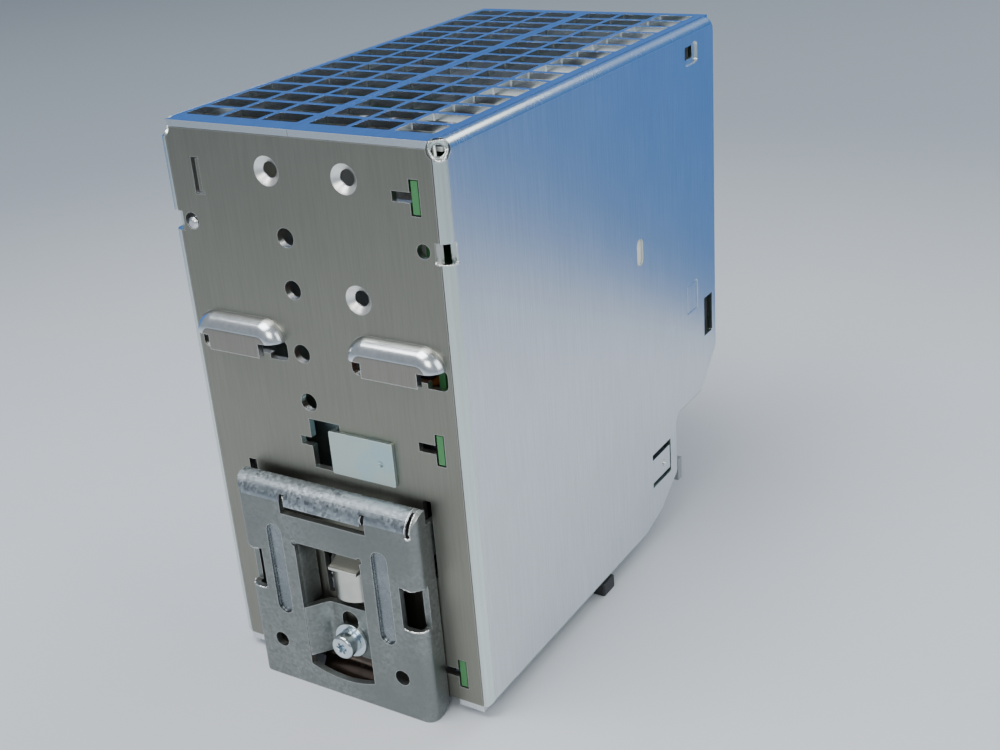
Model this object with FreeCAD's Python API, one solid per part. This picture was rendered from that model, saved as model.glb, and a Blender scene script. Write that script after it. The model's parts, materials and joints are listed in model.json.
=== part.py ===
"""Slim industrial power supply that hooks onto a 35 mm top-hat rail.

Frame: +Z up, the front with its terminals faces -Y, and the rail is at the back, +Y.
The origin is the centre of the rear plate's outer face, on the rail's centreline.
The functions below measure heights from the case's bottom edge, because a case is
drawn that way, and save() lowers every piece by half the case's height.
"""
import FreeCAD, Part
import math
import os

V = FreeCAD.Vector

# ---------------------------------------------------------------- driving dimensions, mm
WIDTH = 70.0            # case, along X
HEIGHT = 125.0          # case, along Z
DEPTH = 124.2           # rear plate's outer face to the side sheets' front edge
SHEET = 1.5             # case sheet
BEND = 2.1              # outer radius of the case's bends
SEAM = 0.15             # gap where two sheets meet

HALF = WIDTH / 2
FLANGE_X = HALF - BEND  # where the side shells' bent rim ends
TOP_SHEET = 1.4         # top grille sheet, lying over the rear plate's end

# Front of the side sheets, seen from the side
CHIN_Y = -98.0          # recessed face over the terminals
CHIN_Z = 25.5           # underside of the overhanging front
BROW_Y = -114.0         # where the overhang starts to slope
BROW_Z = 35.5           # where the slope meets the front
BELLY_Y = -78.0         # where the bottom starts to rise

# Rail: 35 mm top-hat, upper hooks and lower latch
LUG_X = 20.0            # centre of each hook
LUG_WIDTH = 23.2
LUG_OUT = 3.5           # how far a hook stands out of the plate
LUG_LOW = 76.4          # free lower edge
LUG_FACE = 6.8          # half width of a hook's lip, below its side walls
LUG_WALL_LOW = 79.7     # lower end of a hook's side walls
LUG_HOLE_LOW = 75.1     # lower edge of the plate's hole beside the lip
LUG_HIGH = 84.2         # top of the blend into the plate

LATCH_HALF = 24.0       # latch, half width
LATCH_OUT = 6.6         # front face of the latch
LATCH_LOW = -3.3
LATCH_HIGH = 48.0
LATCH_SHEET = 1.5
LATCH_TRAVEL = 5.0
LATCH_SIDE_BEND = 2.4
LATCH_ROLL = 4.4        # outer radius of the latch's rolled top
RAIL_GAP = 2.0          # room for the rail's lip behind hooks and latch
SCREW_Z = 9.0           # latch screw's height
SCREW_R = 1.9
WASHER = 0.9            # latch washer's thickness
BRIDGE_FACE = 1.75      # front face of the latch's bridge, which slides on the rear plate
BRIDGE_HIGH = 17.6
BRIDGE_LOW = 4.8
WINDOW_HALF = 8.8       # latch's window, half width
WINDOW_HIGH = 34.7

# Boards
BOARD = 1.6
BOARD_X = -27.4         # component side of the main board
TAB_HEIGHTS = (7.1, 61.5, 114.0)
CONTROL_Y = -109.0      # rear face of the control board

# Terminals
PITCH = 7.62
BLOCK_FRONT = -97.6
BLOCK_BACK = -80.5
BLOCK_LOW = 10.0
BLOCK_HIGH = 24.4
POLE_Z = 15.5           # height of the terminal screws' axes
INPUT_X = -28.1         # first block's left edge
INPUT_POLES = 3
OUTPUT_X = -2.4
OUTPUT_POLES = 4


# ---------------------------------------------------------------- helpers
def save(name, shape):
    """Write one piece, with its heights measured from the rail's centreline."""
    piece = shape.copy()
    piece.translate(V(0, 0, -HEIGHT / 2))
    if not piece.isValid():
        print("not valid:", name)
    piece.exportStep("parts/" + name + ".step")
    print(name, round(piece.Volume, 1), len(piece.Solids))


def block(x0, x1, y0, y1, z0, z1):
    """Box between two opposite corners, given in either order."""
    low = V(min(x0, x1), min(y0, y1), min(z0, z1))
    return Part.makeBox(abs(x1 - x0), abs(y1 - y0), abs(z1 - z0), low)


def rod(radius, start, end):
    """Round bar between two points."""
    a, b = V(*start), V(*end)
    return Part.makeCylinder(radius, (b - a).Length, a, b - a)


def cone(radius_start, radius_end, start, end):
    """Tapered round bar between two points."""
    a, b = V(*start), V(*end)
    return Part.makeCone(radius_start, radius_end, (b - a).Length, a, b - a)


def ring(outer, inner, start, end):
    """Tube between two points."""
    return rod(outer, start, end).cut(rod(inner, start, end))


def joined(pieces):
    """One shape from pieces that touch or overlap."""
    first = pieces[0]
    if len(pieces) == 1:
        return first
    return first.multiFuse(pieces[1:]).removeSplitter()


def without(shape, cutters):
    """The shape with every cutter taken away."""
    return shape.cut(Part.makeCompound(cutters)) if len(cutters) == 1 else shape.cut(cutters)


def mirrored(shape):
    """The same shape on the other side of the X = 0 plane."""
    return shape.mirror(V(0, 0, 0), V(1, 0, 0))


def outline(corners, place):
    """Closed wire through (u, v, radius) corners, as straight lines and tangent arcs."""
    count = len(corners)
    arcs = []
    for i in range(count):
        u, v, radius = corners[i]
        here = V(u, v, 0)
        back = V(corners[i - 1][0], corners[i - 1][1], 0) - here
        ahead = V(corners[(i + 1) % count][0], corners[(i + 1) % count][1], 0) - here
        back.normalize()
        ahead.normalize()
        half = back.getAngle(ahead) / 2
        reach = radius / math.tan(half)
        inward = (back + ahead).normalize()
        middle = here + inward * (radius / math.sin(half) - radius)
        arcs.append((here + back * reach, middle, here + ahead * reach, radius))
    edges = []
    for i in range(count):
        start, middle, end, radius = arcs[i]
        following = arcs[(i + 1) % count][0]
        if radius > 0:
            edges.append(Part.Arc(place(start), place(middle), place(end)).toShape())
        if (following - end).Length > 1e-6:
            edges.append(Part.LineSegment(place(end), place(following)).toShape())
    return Part.Wire(edges)


def slab(corners, axis, start, end):
    """Prism of a rounded outline along x, y or z.

    The corners' two numbers are (y, z) for x, (x, z) for y and (x, y) for z.
    """
    if axis == "x":
        wire = outline(corners, lambda p: V(start, p.x, p.y))
        return Part.Face(wire).extrude(V(end - start, 0, 0))
    if axis == "y":
        wire = outline(corners, lambda p: V(p.x, start, p.y))
        return Part.Face(wire).extrude(V(0, end - start, 0))
    wire = outline(corners, lambda p: V(p.x, p.y, start))
    return Part.Face(wire).extrude(V(0, 0, end - start))


def rectangle(u0, u1, v0, v1, radius=0.0):
    """Corners of a rectangle with one corner radius, anticlockwise."""
    return [(u0, v0, radius), (u1, v0, radius), (u1, v1, radius), (u0, v1, radius)]


def inset(corners, distance):
    """An anticlockwise outline moved inwards, its corner radii following."""
    count = len(corners)
    moved = []
    for i in range(count):
        u, v, radius = corners[i]
        before = V(u - corners[i - 1][0], v - corners[i - 1][1], 0).normalize()
        after = V(corners[(i + 1) % count][0] - u, corners[(i + 1) % count][1] - v, 0).normalize()
        turn = before.x * after.y - before.y * after.x
        share = distance / (1 + before.dot(after))
        new_u = u - share * (before.y + after.y)
        new_v = v + share * (before.x + after.x)
        new_radius = radius - distance if turn > 0 else radius + distance
        moved.append((new_u, new_v, max(new_radius, 0.0)))
    return moved


def edges_at(shape, axis, value):
    """Edges that lie wholly in the plane where x, y or z has a value."""
    found = []
    for edge in shape.Edges:
        box = edge.BoundBox
        low, high = {"x": (box.XMin, box.XMax), "y": (box.YMin, box.YMax), "z": (box.ZMin, box.ZMax)}[axis]
        if abs(low - value) < 1e-4 and abs(high - value) < 1e-4:
            found.append(edge)
    return found


# ---------------------------------------------------------------- case
def side_corners():
    """Outline of a side wall, as (y, z, radius) corners."""
    return [
        (0, 0, 0),
        (0, HEIGHT, 0),
        (-DEPTH, HEIGHT, 3.5),
        (-DEPTH, BROW_Z, 2.6),
        (BROW_Y, CHIN_Z, 2.6),
        (CHIN_Y, CHIN_Z, 1.5),
        (CHIN_Y, 9.7, 2.6),
        (-87.5, 2.5, 2.6),
        (BELLY_Y, 0, 2.6),
    ]


def side_tray():
    """Side wall at -X with its rim bent round all edges, as a shallow tray."""
    deep = 6.0
    outer = slab(side_corners(), "x", -HALF, -HALF + deep)
    outer = outer.makeFillet(BEND, edges_at(outer, "x", -HALF))
    inner = slab(inset(side_corners(), SHEET), "x", -HALF + SHEET, -HALF + 2 * deep)
    inner = inner.makeFillet(BEND - SHEET, edges_at(inner, "x", -HALF + SHEET))
    rest = block(-FLANGE_X, 0, -2 * DEPTH, DEPTH, -HEIGHT, 2 * HEIGHT)
    return outer.cut(inner).cut(rest)


def bend_notch():
    """Rectangular notch through the rear bend, at -X."""
    return block(-31.7, -HALF - 1, -2.5, 1, 101.4, 105.6)


def corner_relief():
    """Round relief where the rear, top and side bends meet, at -X."""
    return Part.makeSphere(2.4, V(-HALF + 1.3, -1.2, HEIGHT - 1.6))


def clip_cuts():
    """Side-wall cuts that hold the front panel: pocket, slot and three-sided tab, at -X."""
    out = -HALF - 1
    into = -HALF + SHEET + 0.5
    hole = block(out, into, -106.2, -110.7, 117.2, 120.2)
    slot = block(out, into, -115.2, -120.5, 42.0, 52.8)
    tab_slots = [
        block(out, into, -81.8, -92.6, 20.5, 22.0),
        block(out, into, -91.9, -92.6, 12.5, 22.0),
        block(out, into, -81.8, -92.6, 12.5, 13.9),
    ]
    return [hole, slot] + tab_slots


def pocket_dish():
    """Shallow pressed dish around the upper clip hole, at -X."""
    corners = rectangle(-112.8, -105.5, 115.8, 121.0, 1.2)
    return slab(corners, "x", -HALF - 1, -HALF + 0.5)


def tab_dimple():
    """Small round dimple in the three-sided tab."""
    return cone(1.0, 0.5, (-HALF - 0.01, -88.2, 17.0), (-HALF + 1.0, -88.2, 17.0))


def square_stamp():
    """Fine stamped square outline in the -X wall."""
    outer = slab(rectangle(-111.0, -104.5, 52.0, 60.0, 0.6), "x", -HALF - 1, -HALF + 0.25)
    inner = slab(rectangle(-110.6, -104.9, 52.4, 59.6, 0.4), "x", -HALF - 2, -HALF + 1)
    return outer.cut(inner)


def clip_slot():
    """Stadium slot in the -X wall that shows the board clip."""
    return slab(rectangle(-79.85, -76.75, 74.7, 81.3, 1.54), "x", -HALF - 1, -HALF + SHEET + 0.5)


def left_side_shell():
    """The wall at -X: every cut."""
    cuts = [bend_notch(), corner_relief(), pocket_dish(), tab_dimple(), square_stamp(), clip_slot()]
    return without(side_tray(), cuts + clip_cuts())


def right_side_shell():
    """The wall at +X: the same sheet without the board clip's slot and the stamp."""
    cuts = [bend_notch(), corner_relief(), pocket_dish(), tab_dimple()]
    return mirrored(without(side_tray(), cuts + clip_cuts()))


GRILLE_PITCH_X = 10.2
GRILLE_HOLE_X = 8.9
GRILLE_PITCH_Y = 7.36
GRILLE_HOLE_Y = 5.9
GRILLE_REAR = -5.0      # rear edge of the first row
GRILLE_COLUMNS = 3
SEAM_X = 0.3            # where the two halves of the top meet


def grille_holes(first_x, rows, z0, z1):
    """Straight grid of rectangular vent holes, columns going towards +X."""
    holes = []
    for column in range(GRILLE_COLUMNS):
        x = first_x + column * GRILLE_PITCH_X
        for row in range(rows):
            y = GRILLE_REAR - row * GRILLE_PITCH_Y
            corners = rectangle(x, x + GRILLE_HOLE_X, y - GRILLE_HOLE_Y, y, 0.4)
            holes.append(slab(corners, "z", z0, z1))
    return holes


def top_grille(x0, x1, first_x):
    """One half of the perforated top, from the rear edge to the front edge."""
    low = HEIGHT - TOP_SHEET
    rows = 16
    sheet = block(x0, x1, -DEPTH, 0, low, HEIGHT)
    sheet = sheet.cut(corner_relief()).cut(mirrored(corner_relief()))
    return without(sheet, grille_holes(first_x, rows, low - 1, HEIGHT + 1))


def bottom_grille():
    """Perforated bottom with a tab at each rear corner and a wall behind the terminals."""
    inside = FLANGE_X - SEAM
    rows = 9
    front = BLOCK_BACK
    sheet = block(-inside, inside, front, -SHEET - 0.05, 0, SHEET)
    wall = block(-inside, inside, front, front + SHEET, 0, CHIN_Z + 2)
    tabs = [block(side * 26.6, side * 32.8, -8.0, 0, -1.4, 0) for side in (-1, 1)]
    holes = grille_holes(-30.3, rows, -1, SHEET + 0.5)
    holes += grille_holes(2.0, rows, -1, SHEET + 0.5)
    bridges = [block(side * 26.6, side * 32.8, -8.0, -SHEET - 0.05, 0, SHEET) for side in (-1, 1)]
    return joined([without(joined([sheet, wall]), holes)] + tabs + bridges)


def bottom_feet():
    """Four black feet under the bottom, two of them close to the side walls."""
    places = [(-33.0, -55.8), (33.0, -55.8), (-20.0, -74.0), (20.0, -74.0)]
    feet = []
    for x, y in places:
        pad = slab(rectangle(x - 1.9, x + 1.9, y - 2.8, y + 2.8, 0.6), "z", LATCH_LOW, 0)
        feet.append(pad)
    return Part.makeCompound(feet)


# ---------------------------------------------------------------- rear plate
COUNTERSINKS = ((7.0, 116.2), (-12.1, 116.2), (-12.1, 91.6))  # (x, z) of each
SCREW_HOLE_R = 1.7      # clearance for M3
FLARE_R = 3.1           # countersink at the plate's face
FLARE_DEPTH = 1.15
COLUMN_X = 4.5          # upright row of plain holes
COLUMN_HEIGHTS = (102.7, 91.55, 77.45, 66.3)
COLUMN_R = 2.05
EDGE_HOLE = (-29.0, 103.7)
PIN = (29.0, 103.3)     # blind pin, in a hole a little too big for it
PIN_HOLE_R = 1.8


def through(radius, x, z):
    """Round cutter through the rear plate."""
    return rod(radius, (x, -SHEET - 1, z), (x, 1, z))


def countersink(x, z):
    """Flared cutter for a countersunk screw hole."""
    flare = cone(FLARE_R, SCREW_HOLE_R, (x, 0, z), (x, -FLARE_DEPTH, z))
    return joined([flare, through(SCREW_HOLE_R, x, z)])


def board_slot(z):
    """T-shaped slot for a tab of the main board."""
    upright = block(-27.1, -29.3, -SHEET - 1, 1, z - 3.55, z + 3.55)
    leg = block(-23.0, -27.2, -SHEET - 1, 1, z - 1.0, z + 1.0)
    return joined([upright, leg])


def lug_hull(wall, low):
    """Solid shape of a rail hook, made smaller all round by one wall for its inside."""
    half = LUG_WIDTH / 2 - wall
    high = LUG_HIGH - wall
    out = LUG_OUT - wall
    round_end = 5.0 - wall
    base = LUG_LOW - 15.0
    corners = [(-half, base, 0), (half, base, 0), (half, high, round_end), (-half, high, round_end)]
    hull = slab(corners, "y", -SHEET - wall, out)
    hull = hull.makeFillet(out - 0.05, edges_at(hull, "y", out))
    return hull.cut(block(-half - 1, half + 1, -DEPTH, DEPTH, 0, low))


def lug():
    """Rail hook: side walls above, and only a flat lip below them."""
    hull = lug_hull(0, LUG_LOW)
    for side in (-1, 1):
        hull = hull.cut(block(side * LUG_FACE, side * LUG_WIDTH, -DEPTH, DEPTH, 0, LUG_WALL_LOW))
    return hull


def lug_pocket():
    """Inside of a hook, and the plate's hole, which reaches lower beside the lip than behind it."""
    inside = lug_hull(SHEET, LUG_LOW - 0.2)
    half = LUG_WIDTH / 2 + 0.1
    hole = slab(rectangle(-half, half, LUG_HOLE_LOW, LUG_WALL_LOW, 1.4), "y", -SHEET - 1, 0.0)
    step = block(-LUG_FACE, LUG_FACE, -SHEET - 2, 1, 0, LUG_LOW - 0.2)
    return joined([inside, hole.cut(step)])


def rear_plate():
    """Rear sheet with the two rail hooks lanced out of it and all its holes."""
    inside = FLANGE_X - SEAM
    sheet = block(-inside, inside, -SHEET, 0, 0, HEIGHT - TOP_SHEET - 0.1)
    cuts = [countersink(x, z) for x, z in COUNTERSINKS]
    cuts += [through(COLUMN_R, COLUMN_X, z) for z in COLUMN_HEIGHTS]
    cuts += [through(1.5, *EDGE_HOLE), through(PIN_HOLE_R, PIN[0] + 0.3, PIN[1] + 0.4)]
    cuts += [board_slot(z) for z in TAB_HEIGHTS]
    cuts += [
        block(26.2, 26.8, -SHEET - 1, 1, 109.8, 117.6),
        block(24.8, 26.8, -SHEET - 1, 1, 117.2, 117.6),
        block(24.4, 26.8, -SHEET - 1, 1, 109.8, 110.3),
        block(24.9, 26.3, -0.5, 1, 110.0, 117.5),
        block(-2.8, 5.2, -SHEET - 1, 1, 50.8, 62.4),
        block(5.0, 8.1, -SHEET - 1, 1, 55.9, 57.9),
        block(-6.4, 6.4, -SHEET - 1, 1, 19.0, 31.5),
        through(SCREW_R + 0.05, 0, SCREW_Z),
        bend_notch(),
        mirrored(bend_notch()),
        corner_relief(),
        mirrored(corner_relief()),
    ]
    cuts += [block(side * 22.3, side * 24.4, -SHEET - 1, 1, 30.5, 49.0) for side in (-1, 1)]
    sheet = without(sheet, cuts)
    hooks = []
    pockets = []
    for side in (-1, 1):
        hook = lug()
        hook.translate(V(side * LUG_X, 0, 0))
        hooks.append(hook)
        pocket = lug_pocket()
        pocket.translate(V(side * LUG_X, 0, 0))
        pockets.append(pocket)
    return without(joined([sheet] + hooks), pockets)


def case_rivets():
    """Domed blind pin in the rear plate's edge hole."""
    x, z = PIN
    return joined([rod(1.3, (x, -4, z), (x, 0.1, z)), cone(1.3, 0.7, (x, 0.1, z), (x, 0.6, z))])


def hook_plate():
    """Zinc-plated bracket: tongue on the rear plate, a step, and a plate inside the case."""
    tongue = slab(rectangle(-16.7, -0.4, 51.0, 61.0, 0.4), "y", 0.05, 0.95)
    tongue = tongue.cut(Part.makeSphere(1.1, V(-13.3, 1.75, 55.8)))
    step = block(-1.4, -0.4, -6.0, 0.95, 51.6, 60.6)
    inside = block(-1.4, 14.0, -7.0, -6.0, 46.0, 66.0)
    return joined([tongue, step, inside])


# ---------------------------------------------------------------- rail latch
def latch_channel():
    """Latch sheet as a channel: flat face, two side flanges and a rolled top."""
    half = LATCH_HALF
    t = LATCH_SHEET
    back = 0.3
    below = LATCH_LOW - 5
    side_view = slab(
        [(back, LATCH_LOW, 3.4), (LATCH_OUT, LATCH_LOW, 0), (LATCH_OUT, LATCH_HIGH, LATCH_ROLL),
         (back, LATCH_HIGH, 0)], "x", -half, half)
    top_view = slab(
        [(-half, back, 0), (half, back, 0), (half, LATCH_OUT, LATCH_SIDE_BEND),
         (-half, LATCH_OUT, LATCH_SIDE_BEND)], "z", below, LATCH_HIGH)
    inner_side_view = slab(
        [(-t, below, 0), (LATCH_OUT - t, below, 0), (LATCH_OUT - t, LATCH_HIGH - t, LATCH_ROLL - t),
         (-t, LATCH_HIGH - t, 0)], "x", -half + t, half - t)
    inner_top_view = slab(
        [(-half + t, -t, 0), (half - t, -t, 0), (half - t, LATCH_OUT - t, LATCH_SIDE_BEND - t),
         (-half + t, LATCH_OUT - t, LATCH_SIDE_BEND - t)], "z", below, LATCH_HIGH - t)
    shell = side_view.common(top_view).cut(inner_side_view.common(inner_top_view))
    return shell.cut(block(-half - 1, half + 1, 0, RAIL_GAP, 44.5, LATCH_HIGH + 1))


def bridge():
    """Pressed-in strip that the screw clamps to the rear plate, ramped down from the face."""
    t = LATCH_SHEET
    face, floor = LATCH_OUT, BRIDGE_FACE
    rim, foot = WINDOW_HALF + 1.6, 5.1
    front = [(rim, face, 0), (WINDOW_HALF, face, 1.5), (foot, floor, 1.6),
             (-foot, floor, 1.6), (-WINDOW_HALF, face, 1.5), (-rim, face, 0)]
    back = [(-rim, face - t, 0), (-WINDOW_HALF - 0.8, face - t, 0.4), (-foot - 0.8, floor - t, 2.4),
            (foot + 0.8, floor - t, 2.4), (WINDOW_HALF + 0.8, face - t, 0.4), (rim, face - t, 0)]
    return slab(front + back, "z", BRIDGE_LOW, BRIDGE_HIGH)


def window_wall():
    """Side of the window at +X, bent square into the latch."""
    face = LATCH_OUT
    edge = WINDOW_HALF
    t = LATCH_SHEET
    corners = [(edge + 3.0, face, 0), (edge, face, 1.7), (edge - 0.5, 0.6, 0), (edge + 0.9, 0.6, 0),
               (edge + t, face - t, 0.3), (edge + 3.0, face - t, 0)]
    return slab(corners, "z", BRIDGE_HIGH, WINDOW_HIGH)


def window_opening():
    """Cutter for the latch's face over the window and the bridge, its lower end curved."""
    front, back = LATCH_OUT + 1, LATCH_OUT - LATCH_SHEET - 1
    upper = block(-WINDOW_HALF, WINDOW_HALF, back, front, 3.4, WINDOW_HIGH)
    dish = rod(24.0, (0, back, 25.0), (0, front, 25.0))
    lower = dish.common(block(-WINDOW_HALF, WINDOW_HALF, back, front, 0, 4.0))
    relief = rod(0.7, (WINDOW_HALF, back, WINDOW_HIGH - 0.3), (WINDOW_HALF, front, WINDOW_HIGH - 0.3))
    return joined([upper, lower, relief, mirrored(relief)])


def latch_grooves():
    """Two upright pressed grooves in the latch's face."""
    grooves = []
    for side in (-1, 1):
        x = side * 14.2
        shape = slab(rectangle(x - 2.05, x + 2.05, 14.9, 37.9, 2.04), "y", LATCH_OUT - 0.7, LATCH_OUT + 1)
        grooves.append(shape)
    return grooves


def latch_cuts():
    """Slots, side windows and holes of the latch."""
    deep = 2.5
    cuts = []
    cuts.append(block(-10.8, 10.8, deep, LATCH_OUT + 1, 41.3, 43.2))
    for side in (-1, 1):
        cuts.append(block(side * 10.2, side * 11.4, deep, LATCH_OUT + 1, 41.3, 45.8))
        cuts.append(block(side * 18.7, side * 26.0, 3.6, LATCH_OUT + 1, 20.0, 30.5))
        cuts.append(rod(1.85, (side * 16.8, 2, 6.9), (side * 16.8, LATCH_OUT + 1, 6.9)))
    half_slot = SCREW_R + 0.3
    slot_high = SCREW_Z + LATCH_TRAVEL + half_slot
    slot = rectangle(-half_slot, half_slot, SCREW_Z - half_slot, slot_high, half_slot - 0.01)
    cuts.append(slab(slot, "y", -1, LATCH_OUT + 1))
    cuts.append(block(-LATCH_HALF + 1.2, -LATCH_HALF + 2.0, 3.4, LATCH_OUT + 1, 43.2, LATCH_HIGH + 1))
    return cuts


def latch_ears():
    """Ears on the side flanges that run in the rear plate's guide slots."""
    ears = []
    for side in (-1, 1):
        ears.append(block(side * (LATCH_HALF - LATCH_SHEET), side * LATCH_HALF, -3.6, 0.4, 36.2, 44.0))
    return ears


def din_latch():
    """Spring-loaded latch that grips the rail's lower edge."""
    shell = latch_channel().cut(window_opening())
    body = joined([shell, bridge(), window_wall(), mirrored(window_wall())] + latch_ears())
    return without(body, latch_cuts() + latch_grooves())


def latch_spring():
    """Leaf spring behind the latch's window: an upright bow under a sloping shelf."""
    strip = 0.6
    x, y, radius = -0.5, -2.5, 5.6
    low, high = 19.8, 28.5
    bow = ring(radius, radius - strip, (x, y, low), (x, y, high))
    bow = bow.cut(block(-9, 9, y - 9, y, low - 1, high + 1))
    legs = [block(x + side * (radius - strip), x + side * radius, y - 4.0, y, low, high) for side in (-1, 1)]
    shelf_corners = [
        (-4.0, 28.4, 0), (4.6, 28.4, 0), (4.6, 29.1, 0),
        (3.6, 29.3, 0), (0.3, 31.1, 1.5), (-4.0, 31.1, 0)]
    shelf = slab(shelf_corners, "x", -5.8, 1.8)
    return joined([bow, shelf] + legs)


def recess_star(centre, deep, arm, width, count=2):
    """Cutter for a star recess of some bars, starting at its centre and running out along +Y."""
    x, y, z = centre
    bars = []
    for k in range(count):
        bar = block(x - arm, x + arm, y, y + deep, z - width / 2, z + width / 2)
        bar.rotate(V(x, y, z), V(0, 1, 0), 180.0 * k / count)
        bars.append(bar)
    return joined(bars)


def latch_screw():
    """Screw that holds the latch to the case, with a tall round head."""
    head_y = BRIDGE_FACE + WASHER + 0.05
    face_y = head_y + 3.4
    head = rod(2.9, (0, head_y, SCREW_Z), (0, face_y, SCREW_Z))
    head = head.makeFillet(0.8, edges_at(head, "y", face_y))
    shank = rod(SCREW_R, (0, -6.0, SCREW_Z), (0, head_y, SCREW_Z))
    return joined([head, shank]).cut(recess_star((0, face_y - 1.8, SCREW_Z), 3.0, 1.4, 0.75, 3))


def latch_washer():
    """Flat washer between the screw's head and the latch."""
    return ring(4.2, SCREW_R + 0.05, (0, BRIDGE_FACE + 0.03, SCREW_Z), (0, BRIDGE_FACE + WASHER, SCREW_Z))


# ---------------------------------------------------------------- boards and what they carry
def main_pcb():
    """Main board, parallel to the -X wall, with three tabs through the rear plate."""
    corners = [
        (-3.0, 3.0, 0), (-3.0, 121.0, 0), (-105.0, 121.0, 0),
        (-105.0, 30.0, 0), (-76.0, 30.0, 0), (-76.0, 3.0, 0)]
    board = slab(corners, "x", BOARD_X - BOARD, BOARD_X)
    tabs = [block(BOARD_X - BOARD, BOARD_X, -3.5, -0.15, z - 3.3, z + 3.3) for z in TAB_HEIGHTS]
    return joined([board] + tabs)


def control_pcb():
    """Small upright board behind the front panel for the lamp, trimmer and switches."""
    return block(-24, 24, CONTROL_Y - BOARD, CONTROL_Y, 84, 119)


def can(y, z, radius, length):
    """Electrolytic capacitor standing on the main board, with a crimp near its foot."""
    start = BOARD_X
    body = rod(radius, (start, y, z), (start + length, y, z))
    body = body.makeFillet(0.8, edges_at(body, "x", start + length))
    groove = ring(radius + 1, radius - 0.6, (start + 2.5, y, z), (start + 3.9, y, z))
    return body.cut(groove)


def bulk_capacitors():
    """Two mains-side electrolytic capacitors."""
    return Part.makeCompound([can(-21.0, 22.0, 12.5, 42.0), can(-21.0, 49.5, 12.5, 42.0)])


def output_capacitors():
    """Output electrolytic capacitors in a row."""
    return Part.makeCompound([can(-97.0, 53.5 + 14.3 * i, 6.3, 28.0) for i in range(3)])


def upright(y0, y1, z0, z1, tall, radius=0.8):
    """Moulded block standing on the main board with rounded top edges."""
    body = block(BOARD_X, BOARD_X + tall, y0, y1, z0, z1)
    return body.makeFillet(radius, edges_at(body, "x", BOARD_X + tall))


def x_capacitors():
    """Two film capacitors across the mains."""
    return Part.makeCompound([upright(-48, -38, 8, 34, 18), upright(-62, -52, 8, 34, 18)])


def varistor():
    """Disc varistor standing on edge."""
    x = BOARD_X + 9.5
    disc = rod(7.5, (x, -71.5, 14.0), (x, -67.0, 14.0))
    legs = [block(BOARD_X, x, -69.6, -68.9, 14.0 + s * 3.5 - 0.35, 14.0 + s * 3.5 + 0.35) for s in (-1, 1)]
    return joined([disc] + legs)


def input_fuse():
    """Cartridge fuse in two end caps."""
    x = BOARD_X + 5.0
    tube = rod(2.5, (x, -70.0, 24.0), (x, -70.0, 44.0))
    caps = [rod(2.9, (x, -70.0, z), (x, -70.0, z + 5)) for z in (24.0, 39.0)]
    feet = [block(BOARD_X, x, -70.6, -69.4, z, z + 1) for z in (26.0, 41.0)]
    return joined([tube] + caps + feet)


def toroid_core(y, z, outer, inner, thick, lift):
    """Ring core lying flat over the board."""
    start = BOARD_X + lift
    return ring(outer, inner, (start, y, z), (start + thick, y, z))


def toroid_winding(y, z, outer, inner, thick, lift, wire, sectors):
    """Windings round a ring core: thicker ring sectors with the core taken out."""
    low = BOARD_X + lift - wire
    high = BOARD_X + lift + thick + wire
    coil = ring(outer + wire, inner - wire, (low, y, z), (high, y, z))
    coil = coil.cut(toroid_core(y, z, outer, inner, thick, lift))
    gaps = []
    reach = outer + 5
    for k in range(sectors):
        gap = block(low - 1, high + 1, -1.6, 1.6, 0, reach)
        gap.rotate(V(0, 0, 0), V(1, 0, 0), 360.0 * k / sectors)
        gap.translate(V(0, y, z))
        gaps.append(gap)
    return without(coil, gaps)


def choke(y, z, outer, inner, thick, lift, wire, sectors):
    """Core and winding of one ring choke."""
    core = toroid_core(y, z, outer, inner, thick, lift)
    winding = toroid_winding(y, z, outer, inner, thick, lift, wire, sectors)
    return core, winding


TRANSFORMER = (-56.0, 66.0)  # (y, z) of its centre
CORE_Y, CORE_Z, CORE_X = 36.0, 14.0, 32.0
CORE_LEG = 6.0


def transformer_core():
    """Ferrite core: a frame with a middle leg, standing on the board."""
    y, z = TRANSFORMER
    low = BOARD_X + 3.0
    body = block(low, low + CORE_X, y - CORE_Y / 2, y + CORE_Y / 2, z - CORE_Z / 2, z + CORE_Z / 2)
    windows = []
    for side in (-1, 1):
        inner = y + side * CORE_LEG
        outer = y + side * (CORE_Y / 2 - CORE_LEG + 1.5)
        windows.append(block(low + CORE_LEG, low + CORE_X - CORE_LEG, inner, outer, z - 20, z + 20))
    return without(body, windows)


def transformer_bobbin():
    """Bobbin: sleeve round the middle leg with a flange at each end."""
    y, z = TRANSFORMER
    low = BOARD_X + 3.0 + CORE_LEG + 0.1
    high = BOARD_X + 3.0 + CORE_X - CORE_LEG - 0.1
    half_y = CORE_Y / 2 - CORE_LEG + 1.4
    half_z = CORE_Z / 2 + 9.0
    flanges = [
        block(low, low + 1.2, y - half_y, y + half_y, z - half_z, z + half_z),
        block(high - 1.2, high, y - half_y, y + half_y, z - half_z, z + half_z),
    ]
    outer_y, outer_z = CORE_LEG + 1.1, CORE_Z / 2 + 1.1
    inner_y, inner_z = CORE_LEG + 0.1, CORE_Z / 2 + 0.1
    sleeve = block(low, high, y - outer_y, y + outer_y, z - outer_z, z + outer_z)
    hole = block(low - 1, high + 1, y - inner_y, y + inner_y, z - inner_z, z + inner_z)
    return joined(flanges + [sleeve]).cut(hole)


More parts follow.
